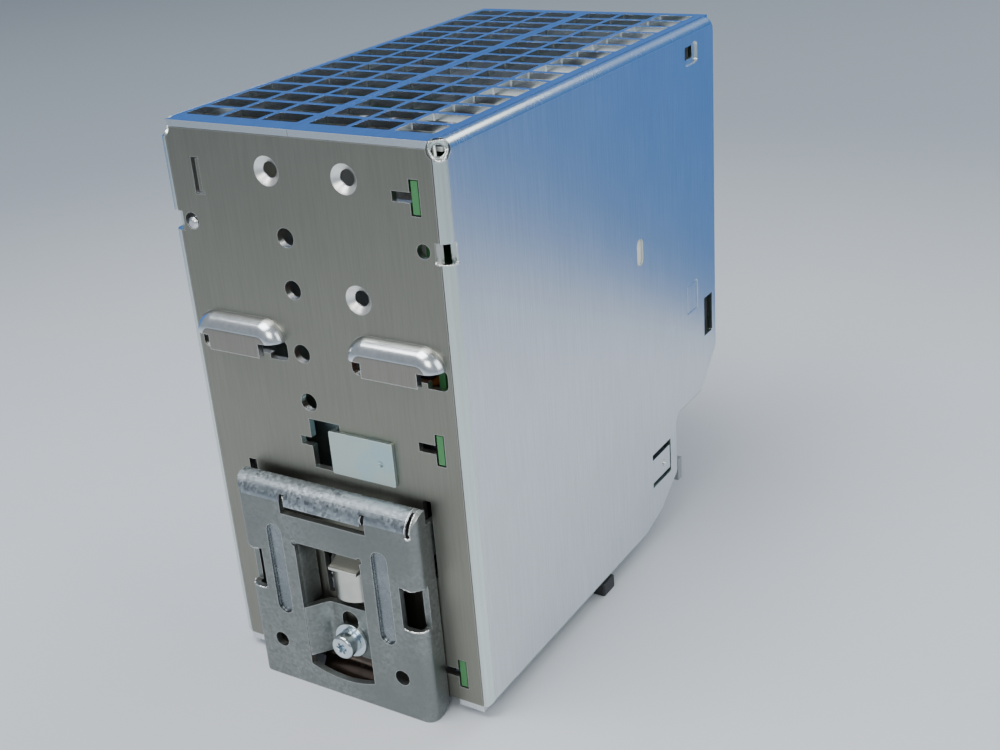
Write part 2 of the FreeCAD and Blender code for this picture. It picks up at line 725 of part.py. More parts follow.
def transformer_winding():
    """Taped winding between the bobbin's flanges."""
    y, z = TRANSFORMER
    low = BOARD_X + 3.0 + CORE_LEG + 1.4
    high = BOARD_X + 3.0 + CORE_X - CORE_LEG - 1.4
    half_y = CORE_Y / 2 - CORE_LEG + 1.2
    half_z = CORE_Z / 2 + 8.0
    outer = slab(rectangle(y - half_y, y + half_y, z - half_z, z + half_z, 3.0), "x", low, high)
    inner_y = CORE_LEG + 1.2
    inner_z = CORE_Z / 2 + 1.2
    inner = block(low - 1, high + 1, y - inner_y, y + inner_y, z - inner_z, z + inner_z)
    return outer.cut(inner)


def heat_sink(y, z0, z1, tall, fins_towards):
    """Aluminium plate on edge with fins along one face."""
    start = BOARD_X + 0.5
    base = block(start, start + tall, y, y + 2.5, z0, z1)
    face = y if fins_towards < 0 else y + 2.5
    fins = []
    count = 6
    for k in range(count):
        x = start + 3.0 + k * (tall - 7.0) / (count - 1)
        fins.append(block(x, x + 1.4, face, face + fins_towards * 4.0, z0, z1))
    return joined([base] + fins)


def package(y0, y1, z, low=8.0):
    """Flat power package with its tab and three legs, held against a heat sink."""
    start = BOARD_X + low
    body = block(start, start + 9.0, y0, y1, z - 5.0, z + 5.0)
    tab_y = y0 if abs(y0) < abs(y1) else y1
    step = 1.3 if tab_y < (y0 + y1) / 2 else -1.3
    tab = block(start + 9.0, start + 15.5, tab_y, tab_y + step, z - 5.0, z + 5.0)
    tab = tab.cut(rod(1.8, (start + 12.6, tab_y - 5, z), (start + 12.6, tab_y + 5, z)))
    middle = (y0 + y1) / 2
    leg_heights = [z + k * 2.54 for k in (-1, 0, 1)]
    legs = [block(BOARD_X, start, middle - 0.25, middle + 0.25, at - 0.4, at + 0.4) for at in leg_heights]
    return joined([body, tab] + legs)


def power_transistors():
    """Three switching transistors on the primary heat sink."""
    return Part.makeCompound([package(-42.0, -37.5, z) for z in (90.0, 102.0, 114.0)])


def output_rectifiers():
    """Two output rectifiers on the secondary heat sink."""
    return Part.makeCompound([package(-84.5, -80.0, z) for z in (92.0, 106.0)])


def bridge_rectifier():
    """Flat four-legged bridge rectifier."""
    body = block(BOARD_X + 4, BOARD_X + 21, -52.4, -48.6, 39.0, 45.5)
    body = joined([body, block(BOARD_X + 4, BOARD_X + 21, -52.4, -48.6, 36.5, 39.0)])
    legs = [block(BOARD_X, BOARD_X + 4, -50.8, -50.2, 37.2 + 2.2 * k, 37.9 + 2.2 * k) for k in range(4)]
    return joined([body] + legs)


def dc_ok_relay():
    """Sealed signal relay."""
    return upright(-104.0, -90.0, 32.5, 46.0, 15.5)


# ---------------------------------------------------------------- insulation and front
def insulation_sheet():
    """Thin liner under the top: a strip along the -X wall with wider fingers."""
    low = HEIGHT - TOP_SHEET - 1.3
    strip = block(-33.2, -25.2, -121.0, -3.2, low, low + 0.8)
    fingers = []
    for k in range(5):
        y = GRILLE_REAR - (3 * k + 1) * GRILLE_PITCH_Y
        fingers.append(block(-26.0, -21.0, y - GRILLE_HOLE_Y, y, low, low + 0.8))
    slot = block(-31.0, -28.5, -9.0, -5.5, low - 1, low + 2)
    return joined([strip] + fingers).cut(slot)


PANEL_HALF = FLANGE_X - 0.3
PANEL_OUT = -124.9
CONTROL_Z = 104.0
LAMP_X = -17.0
TRIMMER_X = -3.0
SWITCH_X = 13.0
SWITCH_TRAVEL = 2.0


def front_panel():
    """Moulded front that follows the overhang, open over the terminals."""
    thick = 2.0
    face = PANEL_OUT
    corners = [
        (CHIN_Y + 0.1, BLOCK_LOW, 0), (CHIN_Y + 0.1 + thick, BLOCK_LOW, 0),
        (CHIN_Y + 0.1 + thick, CHIN_Z + 0.3 + thick, 0), (BROW_Y + 0.9, CHIN_Z + 0.3 + thick, 1.0),
        (face + thick, BROW_Z + 1.7, 1.0), (face + thick, HEIGHT - TOP_SHEET - 0.3, 0),
        (face, HEIGHT - TOP_SHEET - 0.3, 0.8), (face, BROW_Z + 0.9, 2.5),
        (BROW_Y + 0.1, CHIN_Z + 0.3, 2.5), (CHIN_Y + 0.1, CHIN_Z + 0.3, 0)]
    panel = slab(corners, "x", -PANEL_HALF, PANEL_HALF)
    cuts = [
        block(-28.6, 28.6, CHIN_Y - 2, CHIN_Y + 5, BLOCK_LOW - 1, BLOCK_HIGH + 0.3),
        rod(1.7, (LAMP_X, face - 1, CONTROL_Z), (LAMP_X, face + 5, CONTROL_Z)),
        rod(3.4, (TRIMMER_X, face - 1, CONTROL_Z), (TRIMMER_X, face + 5, CONTROL_Z)),
        block(SWITCH_X - 4.2, SWITCH_X + 4.2, face - 1, face + 5, CONTROL_Z - 3.6, CONTROL_Z + 3.6),
        slab(rectangle(-25, 25, 44, 92, 2.0), "y", face - 1, face + 0.4),
    ]
    link = block(-PANEL_HALF, -30.5, CHIN_Y - 0.2, CHIN_Y + 1.8, BLOCK_LOW - 2.5, BLOCK_LOW + 3.5)
    nib = block(-34.4, -30.5, CHIN_Y - 2.4, CHIN_Y - 0.15, BLOCK_LOW - 3.5, BLOCK_LOW + 2.7)
    return joined([without(panel, cuts), link, nib])


def status_led():
    """Indicator lamp: light guide from the control board through the panel."""
    start = CONTROL_Y - BOARD
    guide = rod(1.5, (LAMP_X, start, CONTROL_Z), (LAMP_X, PANEL_OUT - 0.1, CONTROL_Z))
    guide = guide.makeFillet(0.6, edges_at(guide, "y", PANEL_OUT - 0.1))
    foot = block(LAMP_X - 2.2, LAMP_X + 2.2, start - 2.5, start, CONTROL_Z - 2.2, CONTROL_Z + 2.2)
    return joined([guide, foot])


TRIMMER_SOCKET_R = 2.95


def trimmer_body():
    """Square trimmer housing with a round socket for its rotor."""
    start = CONTROL_Y - BOARD
    body = block(TRIMMER_X - 4.8, TRIMMER_X + 4.8, start - 6.0, start, CONTROL_Z - 4.8, CONTROL_Z + 4.8)
    socket = rod(TRIMMER_SOCKET_R, (TRIMMER_X, start - 7, CONTROL_Z), (TRIMMER_X, start - 3.0, CONTROL_Z))
    return body.cut(socket)


def trimmer_rotor():
    """Trimmer rotor with a cross slot, reached through the panel."""
    start = CONTROL_Y - BOARD - 3.1
    face = PANEL_OUT + 0.6
    shaft = rod(TRIMMER_SOCKET_R - 0.06, (TRIMMER_X, start, CONTROL_Z), (TRIMMER_X, face, CONTROL_Z))
    shaft = shaft.makeFillet(0.4, edges_at(shaft, "y", face))
    return shaft.cut(recess_star((TRIMMER_X, face - 0.5, CONTROL_Z), 1.8, 2.1, 0.9))


def dip_switch_body():
    """Two-way slide switch housing with one track for each slider."""
    start = CONTROL_Y - BOARD
    face = PANEL_OUT + 1.6
    body = block(SWITCH_X - 3.9, SWITCH_X + 3.9, face, start, CONTROL_Z - 3.3, CONTROL_Z + 3.3)
    tracks = []
    for side in (-1, 1):
        x = SWITCH_X + side * 1.9
        tracks.append(block(x - 0.85, x + 0.85, face - 1, face + 2.2, CONTROL_Z - 2.1, CONTROL_Z + 2.1))
    return without(body, tracks)


def dip_slider(number):
    """Slider of one switch, resting at the lower end of its track."""
    x = SWITCH_X + (-1.9 if number == 1 else 1.9)
    face = PANEL_OUT + 1.6
    low = CONTROL_Z - 2.0
    high = CONTROL_Z + 2.0 - SWITCH_TRAVEL
    return block(x - 0.75, x + 0.75, PANEL_OUT + 0.4, face + 2.1, low, high)


# ---------------------------------------------------------------- terminals
def pole_places(left, count):
    """X of each pole's centre in a block that starts at left."""
    return [left + PITCH * (k + 0.5) for k in range(count)]


CAGE_TRAVEL = 4.0       # how far a cage clamp moves forwards
CAGE_BACK = -82.0       # cage clamp, open: rear and front faces
CAGE_FRONT = -89.5
CAGE_WALL = 0.9
CAGE_LOW = 11.4
CAGE_HIGH = 19.6
BAR_BACK = -87.2        # fixed contact bar that the cage presses the wire against
BAR_FRONT = -88.2
HEAD_BACK = -94.3       # terminal screw's head
HEAD_FRONT = -96.6
SCREW_SHANK = 1.5
SCREW_HEAD = 2.5


def terminal_block(left, count):
    """Block body with a cage chamber, a screw bore and a wire mouth below for each pole."""
    body = block(left, left + PITCH * count, BLOCK_FRONT, BLOCK_BACK, BLOCK_LOW, BLOCK_HIGH)
    body = body.makeFillet(0.6, edges_at(body, "y", BLOCK_FRONT))
    cuts = []
    for x in pole_places(left, count):
        chamber_front = CAGE_FRONT - CAGE_TRAVEL - 0.3
        cuts.append(block(x - 3.0, x + 3.0, CAGE_BACK + 0.4, chamber_front, BLOCK_LOW - 1, CAGE_HIGH + 0.8))
        cuts.append(block(x - 2.0, x + 2.0, BAR_FRONT - 0.15, BAR_BACK + 0.15, 20.0, 23.2))
        cuts.append(rod(SCREW_HEAD + 0.2, (x, BLOCK_FRONT - 1, POLE_Z), (x, HEAD_BACK + 0.1, POLE_Z)))
        cuts.append(rod(SCREW_SHANK + 0.15, (x, BLOCK_FRONT - 1, POLE_Z), (x, -90, POLE_Z)))
        joint = x - PITCH / 2
        cuts.append(block(joint - 0.2, joint + 0.2, BLOCK_FRONT - 1, BLOCK_FRONT + 0.5, 0, 40))
    return without(body, cuts)


def terminal_contacts():
    """Fixed contact bars, one in each pole."""
    bars = []
    for x in pole_places(INPUT_X, INPUT_POLES) + pole_places(OUTPUT_X, OUTPUT_POLES):
        bars.append(block(x - 1.8, x + 1.8, BAR_FRONT, BAR_BACK, 10.6, 23.1))
    return Part.makeCompound(bars)


def terminal_screw(x):
    """Captive terminal screw with a cross-slotted head."""
    head = rod(SCREW_HEAD, (x, HEAD_BACK, POLE_Z), (x, HEAD_FRONT, POLE_Z))
    head = head.makeFillet(0.4, edges_at(head, "y", HEAD_FRONT))
    shank = rod(SCREW_SHANK, (x, BAR_FRONT - 0.1, POLE_Z), (x, HEAD_BACK, POLE_Z))
    return joined([head, shank]).cut(recess_star((x, HEAD_FRONT - 0.5, POLE_Z), 1.7, 1.7, 0.8))


def terminal_clamp(x):
    """Cage that the screw pulls forwards, shown open."""
    frame = block(x - 2.8, x + 2.8, CAGE_FRONT, CAGE_BACK, CAGE_LOW, CAGE_HIGH)
    mouth = block(x - 2.2, x + 2.2, CAGE_FRONT + CAGE_WALL + 0.1, CAGE_BACK - CAGE_WALL, 0, 40)
    hole = rod(SCREW_SHANK + 0.12, (x, CAGE_FRONT - 1, POLE_Z), (x, CAGE_FRONT + 2, POLE_Z))
    return frame.cut(mouth).cut(hole)


# ---------------------------------------------------------------- the whole supply
def build():
    """Write every piece to parts/."""
    os.makedirs("parts", exist_ok=True)
    save("rear_plate", rear_plate())
    save("left_side_shell", left_side_shell())
    save("right_side_shell", right_side_shell())
    save("left_top_grille", top_grille(-FLANGE_X + SEAM, SEAM_X - 0.05, -30.3))
    save("right_top_grille", top_grille(SEAM_X + 0.05, FLANGE_X - SEAM, 2.0))
    save("bottom_grille", bottom_grille())
    save("bottom_feet", bottom_feet())
    save("case_rivets", case_rivets())
    save("insulation_sheet", insulation_sheet())
    save("front_panel", front_panel())

    save("hook_plate", hook_plate())
    save("din_latch", din_latch())
    save("latch_spring", latch_spring())
    save("latch_screw", latch_screw())
    save("latch_washer", latch_washer())

    save("main_pcb", main_pcb())
    save("control_pcb", control_pcb())
    save("input_fuse", input_fuse())
    save("varistor", varistor())
    save("x_capacitors", x_capacitors())
    save("bridge_rectifier", bridge_rectifier())
    save("bulk_capacitors", bulk_capacitors())
    save("output_capacitors", output_capacitors())
    save("dc_ok_relay", dc_ok_relay())

    line_core, line_winding = choke(-60.0, 46.0 - 1.5, 5.5, 3.2, 6.0, 2.0, 1.0, 2)
    pfc_core, pfc_winding = choke(-16.5, 77.5, 12.6, 7.0, 12.0, 3.0, 1.8, 1)
    output_core, output_winding = choke(-97.5, 104.0, 8.0, 4.0, 9.0, 3.0, 1.4, 1)
    save("line_choke_core", line_core)
    save("line_choke_winding", line_winding)
    save("pfc_choke_core", pfc_core)
    save("pfc_choke_winding", pfc_winding)
    save("output_choke", joined([output_core, output_winding]))

    save("transformer_core", transformer_core())
    save("transformer_bobbin", transformer_bobbin())
    save("transformer_winding", transformer_winding())
    save("primary_heat_sink", heat_sink(-37.5, 84.0, 119.5, 44.0, 1))
    save("secondary_heat_sink", heat_sink(-80.0, 84.0, 119.5, 44.0, 1))
    save("power_transistors", power_transistors())
    save("output_rectifiers", output_rectifiers())

    save("status_led", status_led())
    save("trimmer_body", trimmer_body())
    save("trimmer_rotor", trimmer_rotor())
    save("dip_switch_body", dip_switch_body())
    save("dip_slider_1", dip_slider(1))
    save("dip_slider_2", dip_slider(2))

    save("terminal_contacts", terminal_contacts())
    for side, left, poles in (("input", INPUT_X, INPUT_POLES), ("output", OUTPUT_X, OUTPUT_POLES)):
        save(side + "_terminal_block", terminal_block(left, poles))
        for number, x in enumerate(pole_places(left, poles), 1):
            save(side + "_screw_" + str(number), terminal_screw(x))
            save(side + "_clamp_" + str(number), terminal_clamp(x))


build()
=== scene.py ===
# %% [markdown]
# # A rail-mounted power supply in bare sheet metal
#
# The real object is a folded aluminium case, about 70 x 125 x 125 mm, with a dull
# steel latch on its back. Almost all of its look comes from three things: how the
# sheet edges catch light, the fine grain of the rolled metal, and what can be seen
# through its holes. The shapes come ready from the frame. This lesson adds edges,
# finishes, windings, small board parts and the light.

# %% Load the frame and remember its box
import json
import math

import bmesh
import bpy
import numpy as np
from mathutils import Matrix, Vector


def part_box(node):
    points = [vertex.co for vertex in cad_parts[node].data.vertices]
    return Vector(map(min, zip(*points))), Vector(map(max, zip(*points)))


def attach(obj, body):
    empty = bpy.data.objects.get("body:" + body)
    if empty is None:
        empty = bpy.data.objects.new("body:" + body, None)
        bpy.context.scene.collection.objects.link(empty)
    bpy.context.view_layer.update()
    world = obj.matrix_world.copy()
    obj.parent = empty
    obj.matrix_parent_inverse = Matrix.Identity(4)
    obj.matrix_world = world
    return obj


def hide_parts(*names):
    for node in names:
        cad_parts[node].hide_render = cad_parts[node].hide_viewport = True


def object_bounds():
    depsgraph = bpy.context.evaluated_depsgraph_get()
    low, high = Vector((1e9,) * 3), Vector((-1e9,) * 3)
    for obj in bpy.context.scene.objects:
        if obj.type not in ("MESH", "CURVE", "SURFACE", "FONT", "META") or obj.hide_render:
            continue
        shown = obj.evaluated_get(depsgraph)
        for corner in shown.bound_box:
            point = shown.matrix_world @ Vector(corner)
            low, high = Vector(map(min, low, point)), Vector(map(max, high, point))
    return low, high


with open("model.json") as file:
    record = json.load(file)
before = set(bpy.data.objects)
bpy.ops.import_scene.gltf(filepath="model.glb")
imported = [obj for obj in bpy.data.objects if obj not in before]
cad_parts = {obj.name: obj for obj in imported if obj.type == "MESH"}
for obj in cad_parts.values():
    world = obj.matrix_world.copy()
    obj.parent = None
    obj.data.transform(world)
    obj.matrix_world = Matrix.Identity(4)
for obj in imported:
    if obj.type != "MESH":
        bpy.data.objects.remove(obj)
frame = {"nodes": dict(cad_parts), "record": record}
cad_box = [list(corner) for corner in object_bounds()]
MM = 0.001
BODIES = frame["record"]["behaviour"]["bodies"]
BODY_OF = {node: body for body, nodes in BODIES.items() for node in nodes}
print("nodes in the frame:", len(frame["nodes"]))

# %% [markdown]
# ## Shader groups
#
# Rolled sheet has fine straight lines, cast or phosphated steel has soft blotches,
# and handled metal has marks. Each effect is used by several finishes, so each is
# a node group with named inputs. A group gives out masks, colours and normals, and
# the shader itself stays in the material.

# %% A short way to build node trees
def new_group(name, inputs, outputs):
    """Empty shader group with named float, colour or vector sockets."""
    group = bpy.data.node_groups.new(name, "ShaderNodeTree")
    kinds = {"float": "NodeSocketFloat", "colour": "NodeSocketColor", "vector": "NodeSocketVector"}
    for label, kind, value in inputs:
        socket = group.interface.new_socket(label, in_out="INPUT", socket_type=kinds[kind])
        socket.default_value = value
    for label, kind in outputs:
        group.interface.new_socket(label, in_out="OUTPUT", socket_type=kinds[kind])
    start = group.nodes.new("NodeGroupInput")
    end = group.nodes.new("NodeGroupOutput")
    return group, start, end


def add(tree, kind, **settings):
    """New node with its properties set."""
    node = tree.nodes.new(kind)
    for key, value in settings.items():
        setattr(node, key, value)
    return node


def maths(tree, operation, a, b=None, clamp=False):
    """Math node: each operand is a number or a socket."""
    node = add(tree, "ShaderNodeMath", operation=operation, use_clamp=clamp)
    for index, value in enumerate((a, b)):
        if value is None:
            continue
        if isinstance(value, (int, float)):
            node.inputs[index].default_value = value
        else:
            tree.links.new(value, node.inputs[index])
    return node.outputs[0]


def ramp(tree, factor, low, high):
    """Smooth step of a socket from 0 at low to 1 at high."""
    node = add(tree, "ShaderNodeMapRange", interpolation_type="SMOOTHSTEP")
    node.inputs["From Min"].default_value = low
    node.inputs["From Max"].default_value = high
    tree.links.new(factor, node.inputs["Value"])
    return node.outputs["Result"]


def noise(tree, vector, scale, detail=2.0, seed=None):
    """Noise node on a vector socket; a seed socket gives it a fourth dimension."""
    node = add(tree, "ShaderNodeTexNoise", noise_dimensions="4D" if seed else "3D")
    node.inputs["Scale"].default_value = scale
    node.inputs["Detail"].default_value = detail
    tree.links.new(vector, node.inputs["Vector"])
    if seed:
        tree.links.new(seed, node.inputs["W"])
    return node


def mix_colour(tree, factor, a, b):
    """Colour mix: factor is a number or a socket, a and b are colours or sockets."""
    node = add(tree, "ShaderNodeMix", data_type="RGBA")
    for key, value in (("Factor", factor), ("A", a), ("B", b)):
        socket = [s for s in node.inputs if s.name == key and s.enabled][0]
        if hasattr(value, "links"):
            tree.links.new(value, socket)
        elif key == "Factor":
            socket.default_value = value
        else:
            socket.default_value = (*value, 1.0)
    return [s for s in node.outputs if s.enabled][0]


# %% [markdown]
# **Rolled grain.** The sheet's grain is noise stretched hard along one direction.
# The group stretches Object coordinates by a scale vector, so a plate facing +Y and
# a wall facing -X can both have upright lines. Slow blotches ride on top, because
# rolled metal is never quite even.

# %% Rolled grain group
def rolled_grain_group():
    """Fine lines from stretched noise, plus slow blotches from broad noise."""
    tree, start, end = new_group(
        "rolled_grain",
        [("Scale", "vector", (1800.0, 1800.0, 25.0)), ("Seed", "float", 0.0)],
        [("Lines", "float"), ("Blotches", "float"), ("Streaks", "float")])
    coords = add(tree, "ShaderNodeTexCoord")
    stretched = add(tree, "ShaderNodeVectorMath", operation="MULTIPLY")
    tree.links.new(coords.outputs["Object"], stretched.inputs[0])
    tree.links.new(start.outputs["Scale"], stretched.inputs[1])
    lines = noise(tree, stretched.outputs[0], 1.0, 3.0, start.outputs["Seed"])
    lines.inputs["Roughness"].default_value = 0.7
    slower = add(tree, "ShaderNodeVectorMath", operation="MULTIPLY")
    slower.inputs[1].default_value = (0.05, 0.05, 0.12)
    tree.links.new(stretched.outputs[0], slower.inputs[0])
    streaks = noise(tree, slower.outputs[0], 1.0, 2.0, start.outputs["Seed"])
    blotches = noise(tree, coords.outputs["Object"], 55.0, 3.0, start.outputs["Seed"])
    tree.links.new(lines.outputs["Fac"], end.inputs["Lines"])
    tree.links.new(blotches.outputs["Fac"], end.inputs["Blotches"])
    tree.links.new(streaks.outputs["Fac"], end.inputs["Streaks"])
    return tree


ROLLED_GRAIN = rolled_grain_group()

# %% [markdown]
# **Handling marks.** A few tiny bright specks lie on the metal: they are the cores
# of a sparse cell pattern. One rubbed patch, where something has chafed, is a fine
# ridged noise kept inside a soft ball round a given point.

# %% Handling marks group
def handling_marks_group():
    """Specks: cores of a few cells. Rubbed: ridged noise inside a soft ball round Centre."""
    tree, start, end = new_group(
        "handling_marks",
        [("Seed", "float", 0.0), ("Amount", "float", 0.5),
         ("Centre", "vector", (0.0, 0.0, 0.0)), ("Reach", "float", 0.006)],
        [("Rubbed", "float"), ("Specks", "float")])
    coords = add(tree, "ShaderNodeTexCoord")
    away = add(tree, "ShaderNodeVectorMath", operation="DISTANCE")
    tree.links.new(coords.outputs["Object"], away.inputs[0])
    tree.links.new(start.outputs["Centre"], away.inputs[1])
    share = maths(tree, "DIVIDE", away.outputs["Value"], start.outputs["Reach"])
    ball = maths(tree, "SUBTRACT", 1.0, ramp(tree, share, 0.35, 1.0))
    fine = noise(tree, coords.outputs["Object"], 420.0, 4.0)
    fine.inputs["Distortion"].default_value = 1.5
    rubbed = maths(tree, "MULTIPLY", ball, ramp(tree, fine.outputs["Fac"], 0.5, 0.62))
    cells = add(tree, "ShaderNodeTexVoronoi", voronoi_dimensions="4D")
    cells.inputs["Scale"].default_value = 230.0
    tree.links.new(coords.outputs["Object"], cells.inputs["Vector"])
    tree.links.new(start.outputs["Seed"], cells.inputs["W"])
    core = maths(tree, "SUBTRACT", 1.0, ramp(tree, cells.outputs["Distance"], 0.02, 0.07))
    chosen = add(tree, "ShaderNodeSeparateColor")
    tree.links.new(cells.outputs["Color"], chosen.inputs[0])
    rare = maths(tree, "GREATER_THAN", chosen.outputs[0], 0.95)
    specks = maths(tree, "MULTIPLY", maths(tree, "MULTIPLY", core, rare), start.outputs["Amount"])
    tree.links.new(maths(tree, "MULTIPLY", rubbed, start.outputs["Amount"]), end.inputs["Rubbed"])
    tree.links.new(specks, end.inputs["Specks"])
    return tree


HANDLING_MARKS = handling_marks_group()

# %% [markdown]
# ** Worn edges.** Sheet edges are cut bright and get rubbed, and on the bare sheet the
# same brightening also stands in for a painted highlight along edges and hole rims.
# Cycles' Pointiness is only as fine as the mesh, so a Bevel node is compared with the
# true normal instead: where the two differ, there is an edge.

# %% Edge wear group
def edge_wear_group():
    """Mask that is 1 where a rounded normal turns away from the true one."""
    tree, start, end = new_group("edge_wear", [("Sharpness", "float", 6.0)], [("Edge", "float")])
    rounded = add(tree, "ShaderNodeBevel", samples=4)
    rounded.inputs["Radius"].default_value = 0.35 * MM
    true = add(tree, "ShaderNodeNewGeometry")
    agree = add(tree, "ShaderNodeVectorMath", operation="DOT_PRODUCT")
    tree.links.new(rounded.outputs[0], agree.inputs[0])
    tree.links.new(true.outputs["Normal"], agree.inputs[1])
    apart = maths(tree, "SUBTRACT", 1.0, agree.outputs["Value"])
    mask = maths(tree, "MULTIPLY", apart, start.outputs["Sharpness"], clamp=True)
    tree.links.new(mask, end.inputs["Edge"])
    return tree


EDGE_WEAR = edge_wear_group()


def use(tree, group, **values):
    """One group placed in a material, with its own input values."""
    node = add(tree, "ShaderNodeGroup", node_tree=group)
    for key, value in values.items():
        node.inputs[key].default_value = value
    return node


# %% [markdown]
# ## Finishes
#
# Every finish starts from a Principled BSDF and a Bump node. The numbers that are
# the same all over stay on the shader's own sockets.

# %% Start of every finish
def start_finish(name, colour, roughness, metallic=0.0, **sockets):
    """Material with one Principled BSDF; returns the material, its tree and the shader."""
    material = bpy.data.materials.new(name)
    material.use_nodes = True
    tree = material.node_tree
    shader = tree.nodes["Principled BSDF"]
    shader.inputs["Base Color"].default_value = (*colour, 1.0)
    shader.inputs["Roughness"].default_value = roughness
    shader.inputs["Metallic"].default_value = metallic
    for key, value in sockets.items():
        shader.inputs[key.replace("_", " ")].default_value = value
    material.diffuse_color = (*colour, 1.0)
    return material, tree, shader


def bump(tree, shader, height, strength, distance):
    """Height socket into the shader's normal."""
    node = add(tree, "ShaderNodeBump")
    node.inputs["Strength"].default_value = strength
    node.inputs["Distance"].default_value = distance
    tree.links.new(height, node.inputs["Height"])
    tree.links.new(node.outputs[0], shader.inputs["Normal"])


# %% [markdown]
# ** Bare sheet.** The case is mill-finish aluminium with upright grain. The lines
# move the roughness up and down and tilt the surface a little, which is what spreads
# a reflection sideways on rolled metal. The rear plate is warmer and duller than the
# walls. Where the sheet is bent, drawn or cut it is stretched smooth and looks brighter.
# The drawn lugs' lighter bluish colour and the bright countersink flares are partly a
# painted highlight, and the green tint of the bends is a painted reflection.

# %% Bare sheet finish
def sheet_finish(name, colour, roughness, scale, seed, rubbed_at, wear_and_highlight):
    """Rolled sheet: faint grain in colour, roughness and bump, specks, and bright edges (wear plus
    painted highlight).
    """
    material, tree, shader = start_finish(name, colour, roughness, 1.0)
    grain = use(tree, ROLLED_GRAIN, Scale=scale, Seed=seed)
    worn = use(tree, HANDLING_MARKS, Seed=seed, Amount=0.8, Centre=rubbed_at, Reach=0.008)
    edge = use(tree, EDGE_WEAR, Sharpness=5.0)
    dark = tuple(c * 0.92 for c in colour)
    light = tuple(min(1.0, c * 1.05) for c in colour)
    base = mix_colour(tree, ramp(tree, grain.outputs["Lines"], 0.3, 0.7), dark, light)
    slow = maths(tree, "MULTIPLY", ramp(tree, grain.outputs["Blotches"], 0.35, 0.75), 0.3)
    base = mix_colour(tree, slow, base, tuple(c * 0.86 for c in colour))
    chafed = maths(tree, "MULTIPLY", worn.outputs["Rubbed"], 0.6)
    base = mix_colour(tree, chafed, base, (0.85, 0.86, 0.87))
    base = mix_colour(tree, worn.outputs["Specks"], base, (0.95, 0.95, 0.95))
    # bright edges: real cut and rubbed metal, and partly a painted highlight along edges and hole
    # rims
    edge_wear_highlight = maths(tree, "MULTIPLY", edge.outputs["Edge"], wear_and_highlight)
    base = mix_colour(tree, edge_wear_highlight, base, (0.9, 0.9, 0.89))
    tree.links.new(base, shader.inputs["Base Color"])
    rough = maths(tree, "MULTIPLY_ADD", grain.outputs["Lines"], 0.10)
    rough.node.inputs[2].default_value = roughness - 0.05
    rough = maths(tree, "ADD", rough, maths(tree, "MULTIPLY", grain.outputs["Streaks"], 0.04))
    rough = maths(tree, "ADD", rough, maths(tree, "MULTIPLY", worn.outputs["Rubbed"], 0.2))
    rough = maths(tree, "SUBTRACT", rough, maths(tree, "MULTIPLY", edge_wear_highlight, 0.12), clamp=True)
    tree.links.new(rough, shader.inputs["Roughness"])
    height = maths(tree, "ADD", grain.outputs["Lines"], grain.outputs["Streaks"])
    bump(tree, shader, height, 0.3, 0.008 * MM)
    return material


UPRIGHT = (2200.0, 2200.0, 60.0)
LENGTHWAYS = (2200.0, 60.0, 2200.0)
EVEN = (900.0, 900.0, 900.0)
CHAFED = (-0.035, -0.0945, -0.012)   # beside the square stamp on the -X wall
NOWHERE = (9.0, 9.0, 9.0)
FINISH = {}
for name, colour, roughness, scale, seed, rubbed_at, wear_and_highlight in (
        ("rear_sheet", (0.275, 0.272, 0.232), 0.38, UPRIGHT, 1.0, NOWHERE, 0.45),
        ("wall_sheet", (0.74, 0.77, 0.80), 0.31, UPRIGHT, 2.0, CHAFED, 1.0),
        ("top_sheet", (0.68, 0.72, 0.76), 0.22, LENGTHWAYS, 3.0, NOWHERE, 1.0),
        # bends: smoother metal, and their green tint is a painted reflection
        ("bent_sheet_reflection", (0.66, 0.74, 0.71), 0.24, UPRIGHT, 4.0, NOWHERE, 1.0),
        # drawn lugs: smoother metal, and their lighter bluish colour is partly a painted highlight
        ("drawn_sheet_highlight", (0.88, 0.92, 0.95), 0.21, EVEN, 6.0, NOWHERE, 0.6),
        ("lip_sheet", (0.29, 0.275, 0.245), 0.3, UPRIGHT, 6.5, NOWHERE, 0.8),
        # countersink flares: pressed metal, and their near-white colour is partly a painted
        # highlight
        ("flare_highlight", (0.88, 0.88, 0.86), 0.34, EVEN, 8.0, NOWHERE, 1.0),
        ("cut_edge", (0.60, 0.60, 0.57), 0.32, EVEN, 9.0, NOWHERE, 0.5),
        ("torn_edge", (0.95, 0.95, 0.93), 0.22, EVEN, 10.0, NOWHERE, 1.0)):
    FINISH[name] = sheet_finish(name, colour, roughness, scale, seed, rubbed_at, wear_and_highlight)
print("sheet finishes:", len(FINISH))
